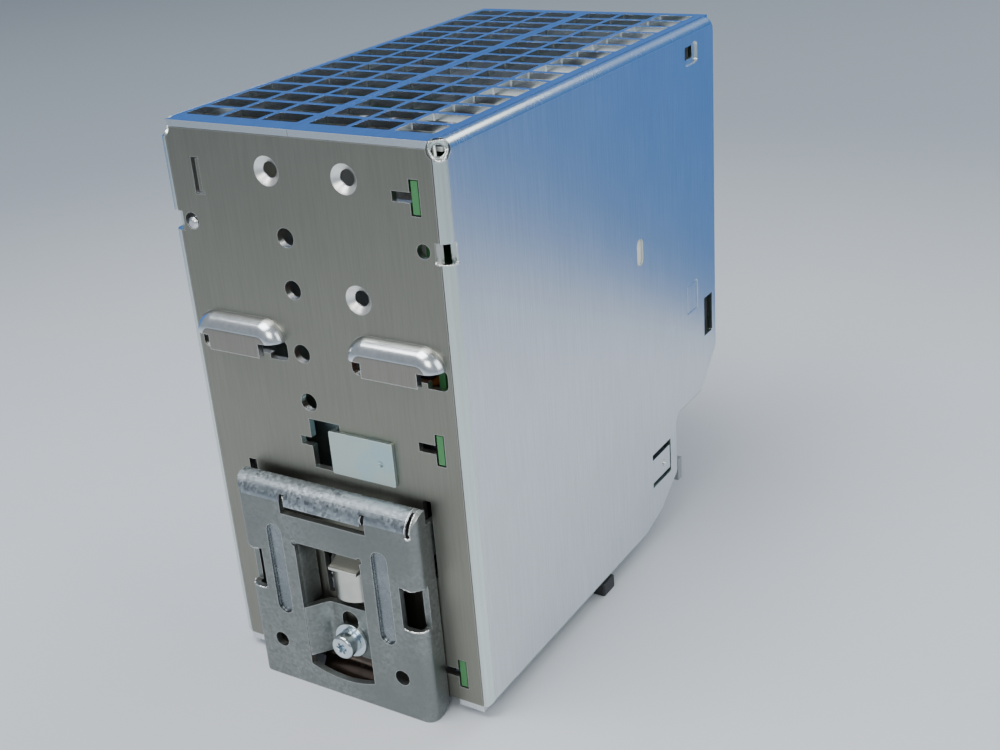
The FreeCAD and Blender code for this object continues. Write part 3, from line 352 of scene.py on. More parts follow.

# %% [markdown]
# ** Latch steel.** The latch is thicker, phosphated spring steel: dull, a little
# mottled, with crystals of spangle where it is rolled over at the top, and rubbed
# bright along its edges. The roll's upward-facing faces are also lighter and bluer,
# which is a painted sky reflection.

# %% Latch finish
def latch_finish(name, colour, other, roughness, spangle, seed):
    """Dull steel: cell spangle and blotches in colour and roughness, bright worn edges."""
    material, tree, shader = start_finish(name, colour, roughness, 1.0)
    coords = add(tree, "ShaderNodeTexCoord")
    cells = add(tree, "ShaderNodeTexVoronoi", feature="F1")
    cells.inputs["Scale"].default_value = 1500.0
    tree.links.new(coords.outputs["Object"], cells.inputs["Vector"])
    split = add(tree, "ShaderNodeSeparateColor")
    tree.links.new(cells.outputs["Color"], split.inputs[0])
    grain = use(tree, ROLLED_GRAIN, Scale=(260.0, 260.0, 120.0), Seed=seed)
    worn = use(tree, HANDLING_MARKS, Seed=seed, Amount=0.7)
    edge = use(tree, EDGE_WEAR, Sharpness=4.0)
    dark = tuple(c * (1.0 - spangle) for c in colour)
    light = tuple(min(1.0, c * (1.0 + spangle)) for c in colour)
    base = mix_colour(tree, split.outputs[0], dark, light)
    base = mix_colour(tree, ramp(tree, grain.outputs["Blotches"], 0.35, 0.7), base, other)
    specks = maths(tree, "MULTIPLY", worn.outputs["Specks"], 0.7)
    base = mix_colour(tree, specks, base, (0.8, 0.8, 0.8))
    rubbed = maths(tree, "MULTIPLY", edge.outputs["Edge"], 0.8)
    base = mix_colour(tree, rubbed, base, (0.70, 0.71, 0.70))
    tree.links.new(base, shader.inputs["Base Color"])
    crystal = maths(tree, "MULTIPLY", split.outputs[1], spangle * 0.6)
    rough = maths(tree, "ADD", crystal, roughness - 0.08)
    rough = maths(tree, "ADD", rough, maths(tree, "MULTIPLY", grain.outputs["Blotches"], 0.08))
    polish = maths(tree, "MULTIPLY", edge.outputs["Edge"], 0.14)
    rough = maths(tree, "SUBTRACT", rough, polish, clamp=True)
    tree.links.new(rough, shader.inputs["Roughness"])
    lines = maths(tree, "MULTIPLY", grain.outputs["Lines"], 1.5)
    height = maths(tree, "ADD", split.outputs[0], lines)
    bump(tree, shader, height, 0.5, spangle * 0.04 * MM)
    return material


for name, colour, other, roughness, spangle, seed in (
        ("latch_steel", (0.26, 0.278, 0.272), (0.215, 0.232, 0.225), 0.44, 0.18, 5.0),
        # roll: spangle, and a lighter bluish tone that is a painted sky reflection
        ("latch_spangle_reflection", (0.33, 0.37, 0.40), (0.29, 0.33, 0.36), 0.34, 0.5, 15.0),
        ("latch_groove", (0.27, 0.30, 0.315), (0.20, 0.225, 0.24), 0.28, 0.12, 25.0)):
    FINISH[name] = latch_finish(name, colour, other, roughness, spangle, seed)

# %% [markdown]
# **Plated parts.** Bright zinc has a bluish cast that drifts towards yellow, and
# nickel is warmer. One function makes them all, with two tints that a slow noise
# mixes, and a roughness that varies.

# %% Plated finishes
def plated_finish(name, tint, other_tint, roughness, scale):
    """Plating: tint and roughness drift with one slow noise, over fine grain."""
    material, tree, shader = start_finish(name, tint, roughness, 1.0)
    coords = add(tree, "ShaderNodeTexCoord")
    slow = noise(tree, coords.outputs["Object"], scale, 3.0)
    edge = use(tree, EDGE_WEAR, Sharpness=4.0)
    base = mix_colour(tree, ramp(tree, slow.outputs["Fac"], 0.35, 0.68), tint, other_tint)
    rubbed = maths(tree, "MULTIPLY", edge.outputs["Edge"], 0.6)
    base = mix_colour(tree, rubbed, base, (0.93, 0.93, 0.93))
    tree.links.new(base, shader.inputs["Base Color"])
    drift = maths(tree, "MULTIPLY", slow.outputs["Fac"], 0.18)
    rough = maths(tree, "ADD", drift, roughness - 0.09, clamp=True)
    tree.links.new(rough, shader.inputs["Roughness"])
    fine = noise(tree, coords.outputs["Object"], 1600.0)
    bump(tree, shader, fine.outputs["Fac"], 0.25, 0.01 * MM)
    return material


for name, tint, other_tint, roughness, scale in (
        ("zinc_plate", (0.44, 0.60, 0.63), (0.54, 0.63, 0.58), 0.34, 140.0),
        ("zinc_screw", (0.58, 0.68, 0.76), (0.70, 0.76, 0.76), 0.2, 400.0),
        ("spring_steel", (0.66, 0.66, 0.60), (0.58, 0.58, 0.54), 0.3, 140.0),
        ("rivet_metal", (0.80, 0.80, 0.80), (0.70, 0.72, 0.74), 0.25, 140.0),
        ("brown_leaf", (0.22, 0.165, 0.135), (0.15, 0.12, 0.10), 0.26, 140.0),
        ("contact_tin", (0.70, 0.70, 0.66), (0.60, 0.60, 0.58), 0.3, 140.0),
        ("screw_nickel", (0.72, 0.69, 0.62), (0.64, 0.62, 0.58), 0.24, 500.0),
        ("clamp_nickel", (0.70, 0.68, 0.62), (0.60, 0.58, 0.54), 0.3, 300.0),
        ("sink_aluminium", (0.80, 0.81, 0.82), (0.70, 0.71, 0.72), 0.4, 60.0),
        ("solder", (0.72, 0.72, 0.72), (0.60, 0.61, 0.63), 0.28, 900.0)):
    FINISH[name] = plated_finish(name, tint, other_tint, roughness, scale)

# %% [markdown]
# **Plastics.** Moulded plastic isn't one flat colour: spark-eroded texture breaks
# up its shine, corners are a little polished, and dust lies in it. One function
# with a grain size covers the panel, terminals, feet and packages.

# %% Moulded finishes
def moulded_finish(name, colour, roughness, grain_scale=1400.0, grain_depth=0.02, **sockets):
    """Moulded plastic: fine bumpy grain, slow colour drift and polished edges."""
    material, tree, shader = start_finish(name, colour, roughness, 0.0, **sockets)
    coords = add(tree, "ShaderNodeTexCoord")
    fine = noise(tree, coords.outputs["Object"], grain_scale, 4.0)
    slow = noise(tree, coords.outputs["Object"], 60.0)
    edge = use(tree, EDGE_WEAR, Sharpness=3.0)
    drift = ramp(tree, slow.outputs["Fac"], 0.3, 0.75)
    base = mix_colour(tree, drift, colour, tuple(c * 0.86 for c in colour))
    base = mix_colour(tree, maths(tree, "MULTIPLY", edge.outputs["Edge"], 0.25), base,
                      tuple(min(1.0, c * 1.3 + 0.03) for c in colour))
    tree.links.new(base, shader.inputs["Base Color"])
    texture = maths(tree, "MULTIPLY", fine.outputs["Fac"], 0.2)
    rough = maths(tree, "ADD", texture, roughness - 0.1, clamp=True)
    tree.links.new(rough, shader.inputs["Roughness"])
    bump(tree, shader, fine.outputs["Fac"], 0.5, grain_depth * MM)
    return material


for name, colour, roughness in (
        ("foot_black", (0.022, 0.022, 0.024), 0.6),
        ("panel_plastic", (0.30, 0.32, 0.33), 0.55),
        ("liner", (0.80, 0.84, 0.80), 0.4),
        ("package_black", (0.018, 0.018, 0.02), 0.5),
        ("relay_case", (0.05, 0.05, 0.055), 0.4),
        ("bobbin_plastic", (0.05, 0.05, 0.05), 0.45),
        ("ferrite", (0.055, 0.055, 0.06), 0.6),
        ("fuse_ceramic", (0.78, 0.77, 0.72), 0.3),
        ("varistor_blue", (0.03, 0.10, 0.36), 0.35),
        ("film_yellow", (0.62, 0.45, 0.06), 0.35),
        ("can_sleeve", (0.022, 0.028, 0.05), 0.3),
        ("trimmer_blue", (0.03, 0.12, 0.42), 0.45),
        ("trimmer_white", (0.78, 0.78, 0.74), 0.4),
        ("switch_red", (0.42, 0.03, 0.025), 0.4),
        ("switch_white", (0.80, 0.80, 0.77), 0.4),
        ("terminal_plastic", (0.06, 0.17, 0.09), 0.5),
        ("printed_mark", (0.80, 0.81, 0.80), 0.5),
        ("clip_cream", (0.90, 0.89, 0.80), 0.4),
        ("chip_black", (0.02, 0.02, 0.022), 0.45),
        ("board_edge", (0.065, 0.25, 0.085), 0.5),
        ("board_dark", (0.012, 0.06, 0.02), 0.5)):
    FINISH[name] = moulded_finish(name, colour, roughness)
FINISH["lamp_green"] = moulded_finish("lamp_green", (0.20, 0.62, 0.26), 0.15,
                                      Transmission_Weight=0.5)
FINISH["winding_tape"] = moulded_finish("winding_tape", (0.66, 0.48, 0.05), 0.25, 300.0, 0.01)
FINISH["enamel"] = moulded_finish("enamel", (0.36, 0.11, 0.03), 0.22, 900.0, 0.005, Coat_Weight=0.6)


# %% [markdown]
# **Circuit board.** Solder mask is glossy green over copper: tracks show as paler
# green bands, and pads as dots. A square cell pattern with its distance measured
# along the axes gives plausible right-angled tracks.

# %% Board finish
def board_finish():
    """Solder mask: axis-aligned cell borders for tracks, small cores for vias, glossy coat."""
    colour = (0.02, 0.10, 0.035)
    material, tree, shader = start_finish("board_green", colour, 0.35, Coat_Weight=0.5)
    coords = add(tree, "ShaderNodeTexCoord")
    cells = add(tree, "ShaderNodeTexVoronoi", distance="CHEBYCHEV")
    cells.inputs["Scale"].default_value = 210.0
    cells.inputs["Randomness"].default_value = 0.55
    tree.links.new(coords.outputs["Object"], cells.inputs["Vector"])
    band = ramp(tree, cells.outputs["Distance"], 0.36, 0.40)
    via = maths(tree, "SUBTRACT", 1.0, ramp(tree, cells.outputs["Distance"], 0.05, 0.09))
    base = mix_colour(tree, band, colour, (0.045, 0.18, 0.06))
    base = mix_colour(tree, via, base, (0.55, 0.50, 0.36))
    tree.links.new(base, shader.inputs["Base Color"])
    bump(tree, shader, band, 0.4, 0.03 * MM)
    return material


FINISH["board_green"] = board_finish()
print("finishes:", len(FINISH))

# %% [markdown]
# ## Dressing the frame's pieces
#
# A CAD solid has knife edges, and a real edge always shows a thin line of light.
# For every piece that can be seen, a copy of its mesh is merged, its coplanar
# triangles are joined, and a narrow bevel is put on edges sharper than 30 degrees.
# Normals are then weighted by face area, so that the bevels don't shade flat faces.
# The frame's own node is then hidden, and it stays in the physics.

# %% Copy of a node with its edges broken
SHARP = math.radians(30.0)    # edges sharper than this are rounded
FLAT = math.radians(0.4)      # faces turned less than this are joined
WELD = 0.002 * MM


def dressed(node, finish, width):
    """Merged copy of a frame node with its sharp edges rounded by width millimetres."""
    mesh = frame["nodes"][node].data.copy()
    shape = bmesh.new()
    shape.from_mesh(mesh)
    bmesh.ops.remove_doubles(shape, verts=shape.verts, dist=WELD)
    bmesh.ops.dissolve_limit(shape, angle_limit=FLAT, verts=shape.verts, edges=shape.edges)
    shape.to_mesh(mesh)
    shape.free()
    piece = bpy.data.objects.new(node + "_finished", mesh)
    bpy.context.scene.collection.objects.link(piece)
    mesh.materials.clear()
    mesh.materials.append(FINISH[finish])
    mesh.attributes.active_color_name = ""
    rounding = piece.modifiers.new("edges", "BEVEL")
    rounding.width = width * MM
    rounding.segments = 2
    rounding.limit_method = "ANGLE"
    rounding.angle_limit = SHARP
    rounding.use_clamp_overlap = True
    evened = piece.modifiers.new("normals", "WEIGHTED_NORMAL")
    evened.mode = "FACE_AREA"
    evened.keep_sharp = True
    for face in mesh.polygons:
        face.use_smooth = True
    mesh.set_sharp_from_angle(angle=SHARP)
    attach(piece, BODY_OF[node])
    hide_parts(node)
    return piece


# %% Another finish on chosen faces
def repaint(piece, finish, chosen):
    """Gives a finish to the faces for which chosen(centre in mm, normal) is true."""
    mesh = piece.data
    count = len(mesh.polygons)
    centre = np.empty(count * 3)
    normal = np.empty(count * 3)
    mesh.polygons.foreach_get("center", centre)
    mesh.polygons.foreach_get("normal", normal)
    centre = centre.reshape(-1, 3) / MM
    normal = normal.reshape(-1, 3)
    wanted = chosen(centre, normal)
    mesh.materials.append(FINISH[finish])
    index = np.empty(count, dtype=np.int32)
    mesh.polygons.foreach_get("material_index", index)
    index[wanted] = len(mesh.materials) - 1
    mesh.polygons.foreach_set("material_index", index)


# %% The case
PIECE = {}
CASE = {
    "rear_plate": ("rear_sheet", 0.14),
    "left_side_shell": ("wall_sheet", 0.14),
    "right_side_shell": ("wall_sheet", 0.14),
    "left_top_grille": ("top_sheet", 0.12),
    "right_top_grille": ("top_sheet", 0.12),
    "bottom_grille": ("wall_sheet", 0.12),
    "case_rivets": ("rivet_metal", 0.1),
    "bottom_feet": ("foot_black", 0.25),
    "insulation_sheet": ("liner", 0.1),
    "front_panel": ("panel_plastic", 0.3),
}
for node, (finish, width) in CASE.items():
    PIECE[node] = dressed(node, finish, width)

rear = PIECE["rear_plate"]
repaint(rear, "cut_edge", lambda c, n: (abs(n[:, 1]) < 0.3) & (c[:, 1] < 0.0))
# countersink cones: pressed metal, and their near-white colour is partly a painted highlight
repaint(rear, "flare_highlight", lambda c, n: (n[:, 1] > 0.2) & (n[:, 1] < 0.9) & (c[:, 1] < -0.05))
# drawn lugs: smoother pressed metal, and their lighter bluish colour is partly a painted highlight
repaint(rear, "drawn_sheet_highlight", lambda c, n: (c[:, 1] > 0.1) & (c[:, 1] < 4.0))
repaint(rear, "lip_sheet", lambda c, n: (c[:, 1] > 3.4) & (n[:, 1] > 0.98))
# faces in the bends get smoother metal with a painted green reflection
for side in ("left_side_shell", "right_side_shell"):
    repaint(PIECE[side], "bent_sheet_reflection",
            lambda c, n: (abs(n[:, 0]) < 0.985) & (abs(c[:, 0]) > 32.5))

# %% The rail fixing
for node, finish, width in (
        ("din_latch", "latch_steel", 0.2), ("hook_plate", "zinc_plate", 0.12),
        ("latch_spring", "spring_steel", 0.1), ("latch_screw", "zinc_screw", 0.12),
        ("latch_washer", "zinc_screw", 0.12)):
    PIECE[node] = dressed(node, finish, width)

# upward-facing faces of the roll: spangle, with a painted sky reflection in their lighter bluish
# tone
repaint(PIECE["din_latch"], "latch_spangle_reflection",
        lambda c, n: (c[:, 2] > 43.3 - 62.5) & (abs(c[:, 0]) < 23.0)
        & ((n[:, 2] > 0.1) | (abs(c[:, 0]) < 10.4)))
repaint(PIECE["din_latch"], "latch_groove",
        lambda c, n: (abs(abs(c[:, 0]) - 14.2) < 2.2) & (abs(c[:, 2] + 36.1) < 11.8)
        & (c[:, 1] < 6.55) & (c[:, 1] > 5.5))

# %% Everything else keeps its own solid or gets a soft edge
INSIDE = {
    "main_pcb": "board_green", "control_pcb": "board_green", "input_fuse": "fuse_ceramic",
    "varistor": "varistor_blue", "x_capacitors": "film_yellow", "bridge_rectifier": "package_black",
    "bulk_capacitors": "can_sleeve", "output_capacitors": "can_sleeve", "dc_ok_relay": "relay_case",
    "line_choke_core": "ferrite", "pfc_choke_core": "ferrite", "transformer_core": "ferrite",
    "line_choke_winding": "enamel", "pfc_choke_winding": "enamel", "output_choke": "enamel",
    "transformer_bobbin": "bobbin_plastic", "transformer_winding": "winding_tape",
    "primary_heat_sink": "sink_aluminium", "secondary_heat_sink": "sink_aluminium",
    "power_transistors": "package_black", "output_rectifiers": "package_black",
    "status_led": "lamp_green", "trimmer_body": "trimmer_blue", "trimmer_rotor": "trimmer_white",
    "dip_switch_body": "switch_red", "dip_slider_1": "switch_white", "dip_slider_2": "switch_white",
    "terminal_contacts": "contact_tin", "input_terminal_block": "terminal_plastic",
    "output_terminal_block": "terminal_plastic",
}
BUILT_BELOW = ("line_choke_winding", "pfc_choke_winding", "output_choke",
               "bulk_capacitors", "output_capacitors")
for node in frame["nodes"]:
    if "_screw_" in node:
        INSIDE[node] = "screw_nickel"
    if "_clamp_" in node:
        INSIDE[node] = "clamp_nickel"
for node, finish in INSIDE.items():
    if node not in BUILT_BELOW:
        PIECE[node] = dressed(node, finish, 0.12)
repaint(PIECE["main_pcb"], "board_edge", lambda c, n: (c[:, 1] > -3.2))
repaint(PIECE["main_pcb"], "board_dark", lambda c, n: (c[:, 1] > -3.2) & (n[:, 0] < -0.5))

# %% [markdown]
# ## Pieces made in numpy
#
# A swept tube and a turned profile cover most small shapes. Both are grids of
# points: one index runs along the path or round the axis, the other across it.

# %% Grid, tube and lathe
HEIGHT_SHIFT = 62.5   # heights below are counted from the bottom of the case


def quads(index):
    """Four corners of each cell of a grid of point numbers."""
    corners = [index[:-1, :-1], index[1:, :-1], index[1:, 1:], index[:-1, 1:]]
    return np.stack(corners, axis=-1).reshape(-1, 4)


def grid_piece(name, grids, finish, body, smooth=True):
    """One mesh from several point grids in mm, each (rows, columns, 3)."""
    points, faces, start = [], [], 0
    for grid, wrap_rows, wrap_columns in grids:
        rows, columns = grid.shape[:2]
        index = start + np.arange(rows * columns).reshape(rows, columns)
        if wrap_rows:
            index = np.vstack([index, index[:1]])
        if wrap_columns:
            index = np.hstack([index, index[:, :1]])
        points.append(grid.reshape(-1, 3))
        faces.append(quads(index))
        start += rows * columns
    places = np.vstack(points) * MM
    places[:, 2] -= HEIGHT_SHIFT * MM
    mesh = bpy.data.meshes.new(name)
    mesh.from_pydata(places.tolist(), [], np.vstack(faces).tolist())
    mesh.materials.append(FINISH[finish])
    for face in mesh.polygons:
        face.use_smooth = smooth
    piece = bpy.data.objects.new(name, mesh)
    bpy.context.scene.collection.objects.link(piece)
    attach(piece, body)
    return piece


def tube(path, radius, sides=8):
    """Grid swept along a path; radius is a number or one value per point."""
    path = np.asarray(path, dtype=float)
    along = np.gradient(path, axis=0)
    along /= np.linalg.norm(along, axis=1)[:, None]
    upright = abs(along[:, 2]).mean() >= 0.8
    guide = np.array([1.0, 0.0, 0.0]) if upright else np.array([0.0, 0.0, 1.0])
    across = np.cross(along, guide)
    across /= np.linalg.norm(across, axis=1)[:, None] + 1e-12
    other = np.cross(along, across)
    turn = np.linspace(0, 2 * np.pi, sides, endpoint=False)
    radius = np.broadcast_to(radius, len(path))[:, None, None]
    ring = across[:, None] * np.cos(turn)[:, None] + other[:, None] * np.sin(turn)[:, None]
    return path[:, None] + ring * radius


def smooth_path(corners, count):
    """Evenly spaced points along straight runs, with the corners softened by a running mean."""
    corners = np.asarray(corners, dtype=float)
    reach = np.concatenate([[0], np.cumsum(np.linalg.norm(np.diff(corners, axis=0), axis=1))])
    steps = np.linspace(0, reach[-1], count)
    line = np.column_stack([np.interp(steps, reach, corners[:, k]) for k in range(3)])
    kernel = np.ones(5) / 5
    padded = np.vstack([np.repeat(line[:1], 2, axis=0), line, np.repeat(line[-1:], 2, axis=0)])
    return np.column_stack([np.convolve(padded[:, k], kernel, "valid") for k in range(3)])


# %% [markdown]
# **Torn edges.** Where thick sheet is lanced or split, its edge is a bright, lumpy
# burr. It is a thin tube whose radius and path wander with seeded noise, and which
# tapers at both ends.

# %% Torn edge beads
def torn(corners, radius, seed, count=60, ends=0.25):
    """Tube grid along corners with a wandering radius."""
    rng = np.random.default_rng(seed)
    path = smooth_path(corners, count)
    wander = np.convolve(rng.normal(0, 1, (count + 4)), np.ones(5) / 5, "valid")
    path = path + rng.normal(0, radius * 0.10, path.shape)
    share = np.linspace(0, 1, count)
    taper = np.clip(np.minimum(share, 1 - share) / 0.06, ends, 1.0)
    return tube(path, radius * (1 + 0.35 * wander) * taper)


def bend_point(degrees, z, out=0.0):
    """Point on the corner's outer bend at -X: 0 degrees at the rear face, 90 at the side."""
    angle = math.radians(degrees)
    reach = 2.1 + out
    return (-32.9 - reach * math.sin(angle), -2.1 + reach * math.cos(angle), z)


notch_edge = [(-31.7, 0.0, 101.45)] + [bend_point(a, 101.42) for a in range(0, 91, 15)]
notch_side = [bend_point(93, 105.4), bend_point(93, 103.5), bend_point(93, 101.5)]
burrs = [
    torn(notch_edge, 0.17, 1), torn(notch_side, 0.11, 2),
    torn([(-31.9, 0.05, 102.1), (-31.75, 0.12, 101.7), (-31.6, 0.05, 101.3)], 0.26, 3, 16),
    torn([bend_point(70, 101.9, 0.1), bend_point(84, 101.6, 0.25), bend_point(96, 101.6, 0.1)],
         0.27, 4, 16),
]
grid_piece("notch_burrs", [(g, False, True) for g in burrs], "torn_edge", "case")

# %% [markdown]
# **Corner cup.** Where three bends meet, the corner is drawn into a small cup with a
# hole at its bottom. The cup is a polar grid: radius shrinks and depth grows from the
# rim to the hole. A torn lip runs round its lower half, and a post shows inside.

# %% Corner cup
CUP_CENTRE = np.array([-33.95, -0.75, 123.35])
CUP_AXIS = np.array([-0.62, 0.70, 0.35])
CUP_AXIS /= np.linalg.norm(CUP_AXIS)
CUP_RIGHT = np.cross(CUP_AXIS, [0, 0, 1.0])
CUP_RIGHT /= np.linalg.norm(CUP_RIGHT)
CUP_UP = np.cross(CUP_RIGHT, CUP_AXIS) * -1.0
if CUP_UP[2] < 0:
    CUP_UP = -CUP_UP


def cup_point(angle, radius, depth):
    """Point in the cup's own polar frame, in degrees and mm, kept inside the case's box."""
    a = np.radians(angle)
    round_it = CUP_RIGHT * radius * np.cos(a) + CUP_UP * radius * np.sin(a)
    point = CUP_CENTRE + round_it - CUP_AXIS * depth
    return np.array([max(point[0], -35.0), min(point[1], 0.0), min(point[2], 124.95)])


def corner_cup():
    """Dished ring from a 2.2 mm rim down to an oval hole."""
    rng = np.random.default_rng(21)
    angles = np.linspace(0, 360, 60, endpoint=False)
    steps = np.linspace(0, 1, 9)
    ragged = np.convolve(np.tile(rng.normal(0, 0.07, 60), 2), np.ones(3) / 3, "same")[:60]
    rows = []
    for step in steps:
        row = []
        for k, angle in enumerate(angles):
            hole = 1.38 - 0.25 * abs(math.sin(math.radians(angle))) + ragged[k]
            radius = 2.2 + (hole - 2.2) * step
            row.append(cup_point(angle, radius, 0.05 + 0.85 * math.sin(step * math.pi / 2)))
        rows.append(row)
    return np.array(rows)


# the cup's green tint is a painted reflection
grid_piece("corner_cup", [(corner_cup(), False, True)], "bent_sheet_reflection", "case")
lower_lip = [cup_point(a, 2.12, 0.0) for a in range(175, 366, 10)]
upper_lip = [cup_point(a, 2.2, 0.05) for a in range(0, 181, 10)]
inner_lip = [cup_point(a, 1.42, 0.7) for a in range(190, 351, 10)]
lips = [torn(lower_lip, 0.24, 5, 80), torn(upper_lip, 0.10, 6), torn(inner_lip, 0.13, 7)]
grid_piece("cup_lips", [(g, False, True) for g in lips], "torn_edge", "case")
post = [cup_point(-62, 1.2, 1.3), cup_point(0, 0.55, 1.3), cup_point(62, 1.2, 1.3)]
# the post's near-white finish is partly a painted highlight
grid_piece("cup_post", [(tube(smooth_path(post, 16), 0.34), False, True)], "flare_highlight", "case")
notch_wall = np.array([[(-31.73, -0.1, z), (-31.9, -0.9, z), (-32.5, -1.5, z)]
                       for z in (101.3, 103.5, 105.7)])
grid_piece("notch_wall", [(notch_wall, False, False)], "cut_edge", "case")

# %% Latch burrs, which ride with the latch
FACE = 6.6        # y of the latch's outer face
LATCH_TOP = 48.0
ROLL = 4.4        # radius of the rolled upper edge
split_x = -22.4
roll = [(FACE - ROLL + ROLL * math.sin(a), LATCH_TOP - ROLL + ROLL * math.cos(a))
        for a in np.radians(np.arange(0, 91, 12))]
split_left = [(split_x + 0.75, y, z) for y, z in roll]
split_right = [(split_x - 0.55, y, z) for y, z in roll]
split_foot = [(split_x + 0.9, FACE - 0.3, 43.2), (split_x, FACE, 42.9),
              (split_x - 0.7, FACE - 0.4, 43.3)]
latch_burrs = [torn(split_left, 0.16, 11), torn(split_right, 0.15, 12),
               torn(split_foot, 0.22, 13, 16)]
for side in (-1, 1):
    low = 20.05
    rim = [(side * 18.8, FACE, low + 0.5), (side * 19.4, FACE, low), (side * 21.6, FACE, low),
           (side * 23.2, FACE - 0.8, low), (side * 24.0, FACE - 2.3, low + 0.2)]
    latch_burrs.append(torn(rim, 0.17, 14 + side))
    top = [(side * 19.6, FACE - 0.1, 30.4), (side * 21.5, FACE - 0.2, 30.1),
           (side * 22.8, FACE - 0.6, 30.4)]
    latch_burrs.append(torn(top, 0.12, 17 + side, 30))
    end = [(side * 10.35, FACE - 0.5, 43.3), (side * 10.2, FACE - 0.2, 44.6),
           (side * 10.6, FACE - 0.5, 45.7)]
    latch_burrs.append(torn(end, 0.10, 20 + side, 24))
grid_piece("latch_burrs", [(g, False, True) for g in latch_burrs], "torn_edge", "latch")

# %% [markdown]
# **Spring leaf.** Under the bridge a brown tempered leaf closes the curved opening. It
# is a bowed grid that rises towards the opening's lower edge.

# %% Spring leaf in the latch's lower opening
LEAF_HALF, LEAF_TOP, LEAF_FOOT = 8.6, 4.3, -1.6
z, x = np.meshgrid(np.linspace(LEAF_TOP, LEAF_FOOT, 12), np.linspace(-LEAF_HALF, LEAF_HALF, 24),
                   indexing="ij")
drop = (LEAF_TOP - z) / (LEAF_TOP - LEAF_FOOT)
bow = 0.5 * np.cos(x / LEAF_HALF * np.pi / 2) * drop
leaf = np.stack([x, 1.0 + 2.6 * drop - bow + 0.25 * np.sin(drop * 9), z], axis=-1)
grid_piece("spring_leaf", [(leaf, False, False)], "brown_leaf", "latch")

# %% [markdown]
# **Behind the wall.** A cream moulding of the front panel fills the upright slot in
# the wall, and shows as a pale stripe. Its face is gently crowned.

# %% Cream clip behind the slot
rows = np.linspace(73.6, 82.4, 12)
columns = np.linspace(-80.2, -76.4, 6)
crown = np.array([[(-34.55 + 0.2 * ((y + 78.3) / 1.9) ** 2, y, z) for y in columns] for z in rows])
grid_piece("clip_back", [(crown, False, False)], "clip_cream", "case")

# %% [markdown]
# **Windings.** Each turn of wire goes round the ring core's rounded-square section,
# and the turns spread round the ring. The square section is a circle with its sine
# and cosine raised to a small power.

# %% Ring chokes
BOARD_X = -27.4


def wound(y, z, outer, inner, thick, lift, wire, turns, sectors):
    """Tube grids of wire round a ring core that lies over the board."""
    grids = []
    middle, half = (outer + inner) / 2, (outer - inner) / 2 + wire / 2
    rise, centre_x = thick / 2 + wire / 2, BOARD_X + lift + thick / 2
    gap = math.degrees(2.2 / inner)
    for k in range(sectors):
        span = 360.0 / sectors
        steps = turns * 22
        section = np.linspace(0, 2 * np.pi * turns, steps)
        spread = np.radians(np.linspace(span * k + gap, span * (k + 1) - gap, steps))
        c = np.sign(np.cos(section)) * np.abs(np.cos(section)) ** 0.45
        s = np.sign(np.sin(section)) * np.abs(np.sin(section)) ** 0.45
        radial = middle + half * c
        path = np.column_stack([centre_x + rise * s, y - radial * np.sin(spread),
                                z + radial * np.cos(spread)])
        grids.append((tube(path, wire * 0.46, 7), False, True))
    return grids


def turned(profile, y, z, count=40):
    """Grid turned about an axis along X; profile is (x, radius) pairs in mm."""
    turn = np.linspace(0, 2 * np.pi, count, endpoint=False)
    return np.array([[(x, y + r * math.cos(a), z + r * math.sin(a)) for a in turn]
                     for x, r in profile])


for node, place in (
        ("line_choke_winding", (-60.0, 44.5, 5.5, 3.2, 6.0, 2.0, 1.0, 7, 2)),
        ("pfc_choke_winding", (-16.5, 77.5, 12.6, 7.0, 12.0, 3.0, 1.8, 19, 1)),
        ("output_choke", (-97.5, 104.0, 8.0, 4.0, 9.0, 3.0, 1.4, 14, 1))):
    coil = grid_piece(node + "_wire", wound(*place), "enamel", "case")
    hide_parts(node)
core = [(-24.4, 4.5), (-24.4, 7.6), (-24.0, 8.0), (-15.8, 8.0),
        (-15.4, 7.6), (-15.4, 4.5), (-15.8, 4.1), (-24.0, 4.1)]
ring_core = turned(core + core[:1], -97.5, 104.0)
grid_piece("output_choke_core", [(ring_core, False, True)], "ferrite", "case")

# %% [markdown]
# **Capacitors.** A shrunk sleeve over an aluminium can: the sleeve hugs the crimp
# near the foot and laps over the shoulder, and the bare top has a pressed cross vent.

# %% Cans with sleeves and vented tops
def sleeve(radius, length):
    """Profile of the sleeve from the board to its lap over the top."""
    x = BOARD_X
    top = x + length
    return [(x + 0.1, radius - 0.8), (x + 0.2, radius - 0.2), (x + 0.9, radius),
            (x + 2.3, radius), (x + 2.7, radius - 0.55), (x + 3.7, radius - 0.55),
            (x + 4.1, radius), (top - 0.9, radius), (top - 0.3, radius - 0.25),
            (top, radius - 0.8), (top - 0.02, radius - 1.5)]


def vented_top(y, z, radius, x):
    """Polar grid of the bare top with two crossing grooves and a rolled rim."""
    share = np.concatenate([np.linspace(0.02, 0.8, 18), [0.86, 0.92, 1.0]])
    turn = np.linspace(0, 2 * np.pi, 64, endpoint=False)
    r, a = np.meshgrid(share * (radius - 1.2), turn, indexing="ij")
    across, up = r * np.cos(a), r * np.sin(a)
    near = np.minimum(abs(across - up), abs(across + up)) / math.sqrt(2)
    groove = 0.3 * np.exp(-(near / 0.35) ** 2) * (r < 0.74 * radius)
    return np.stack([x - 0.35 - groove + 0.3 * (share[:, None] > 0.9), y + across, z + up], axis=-1)


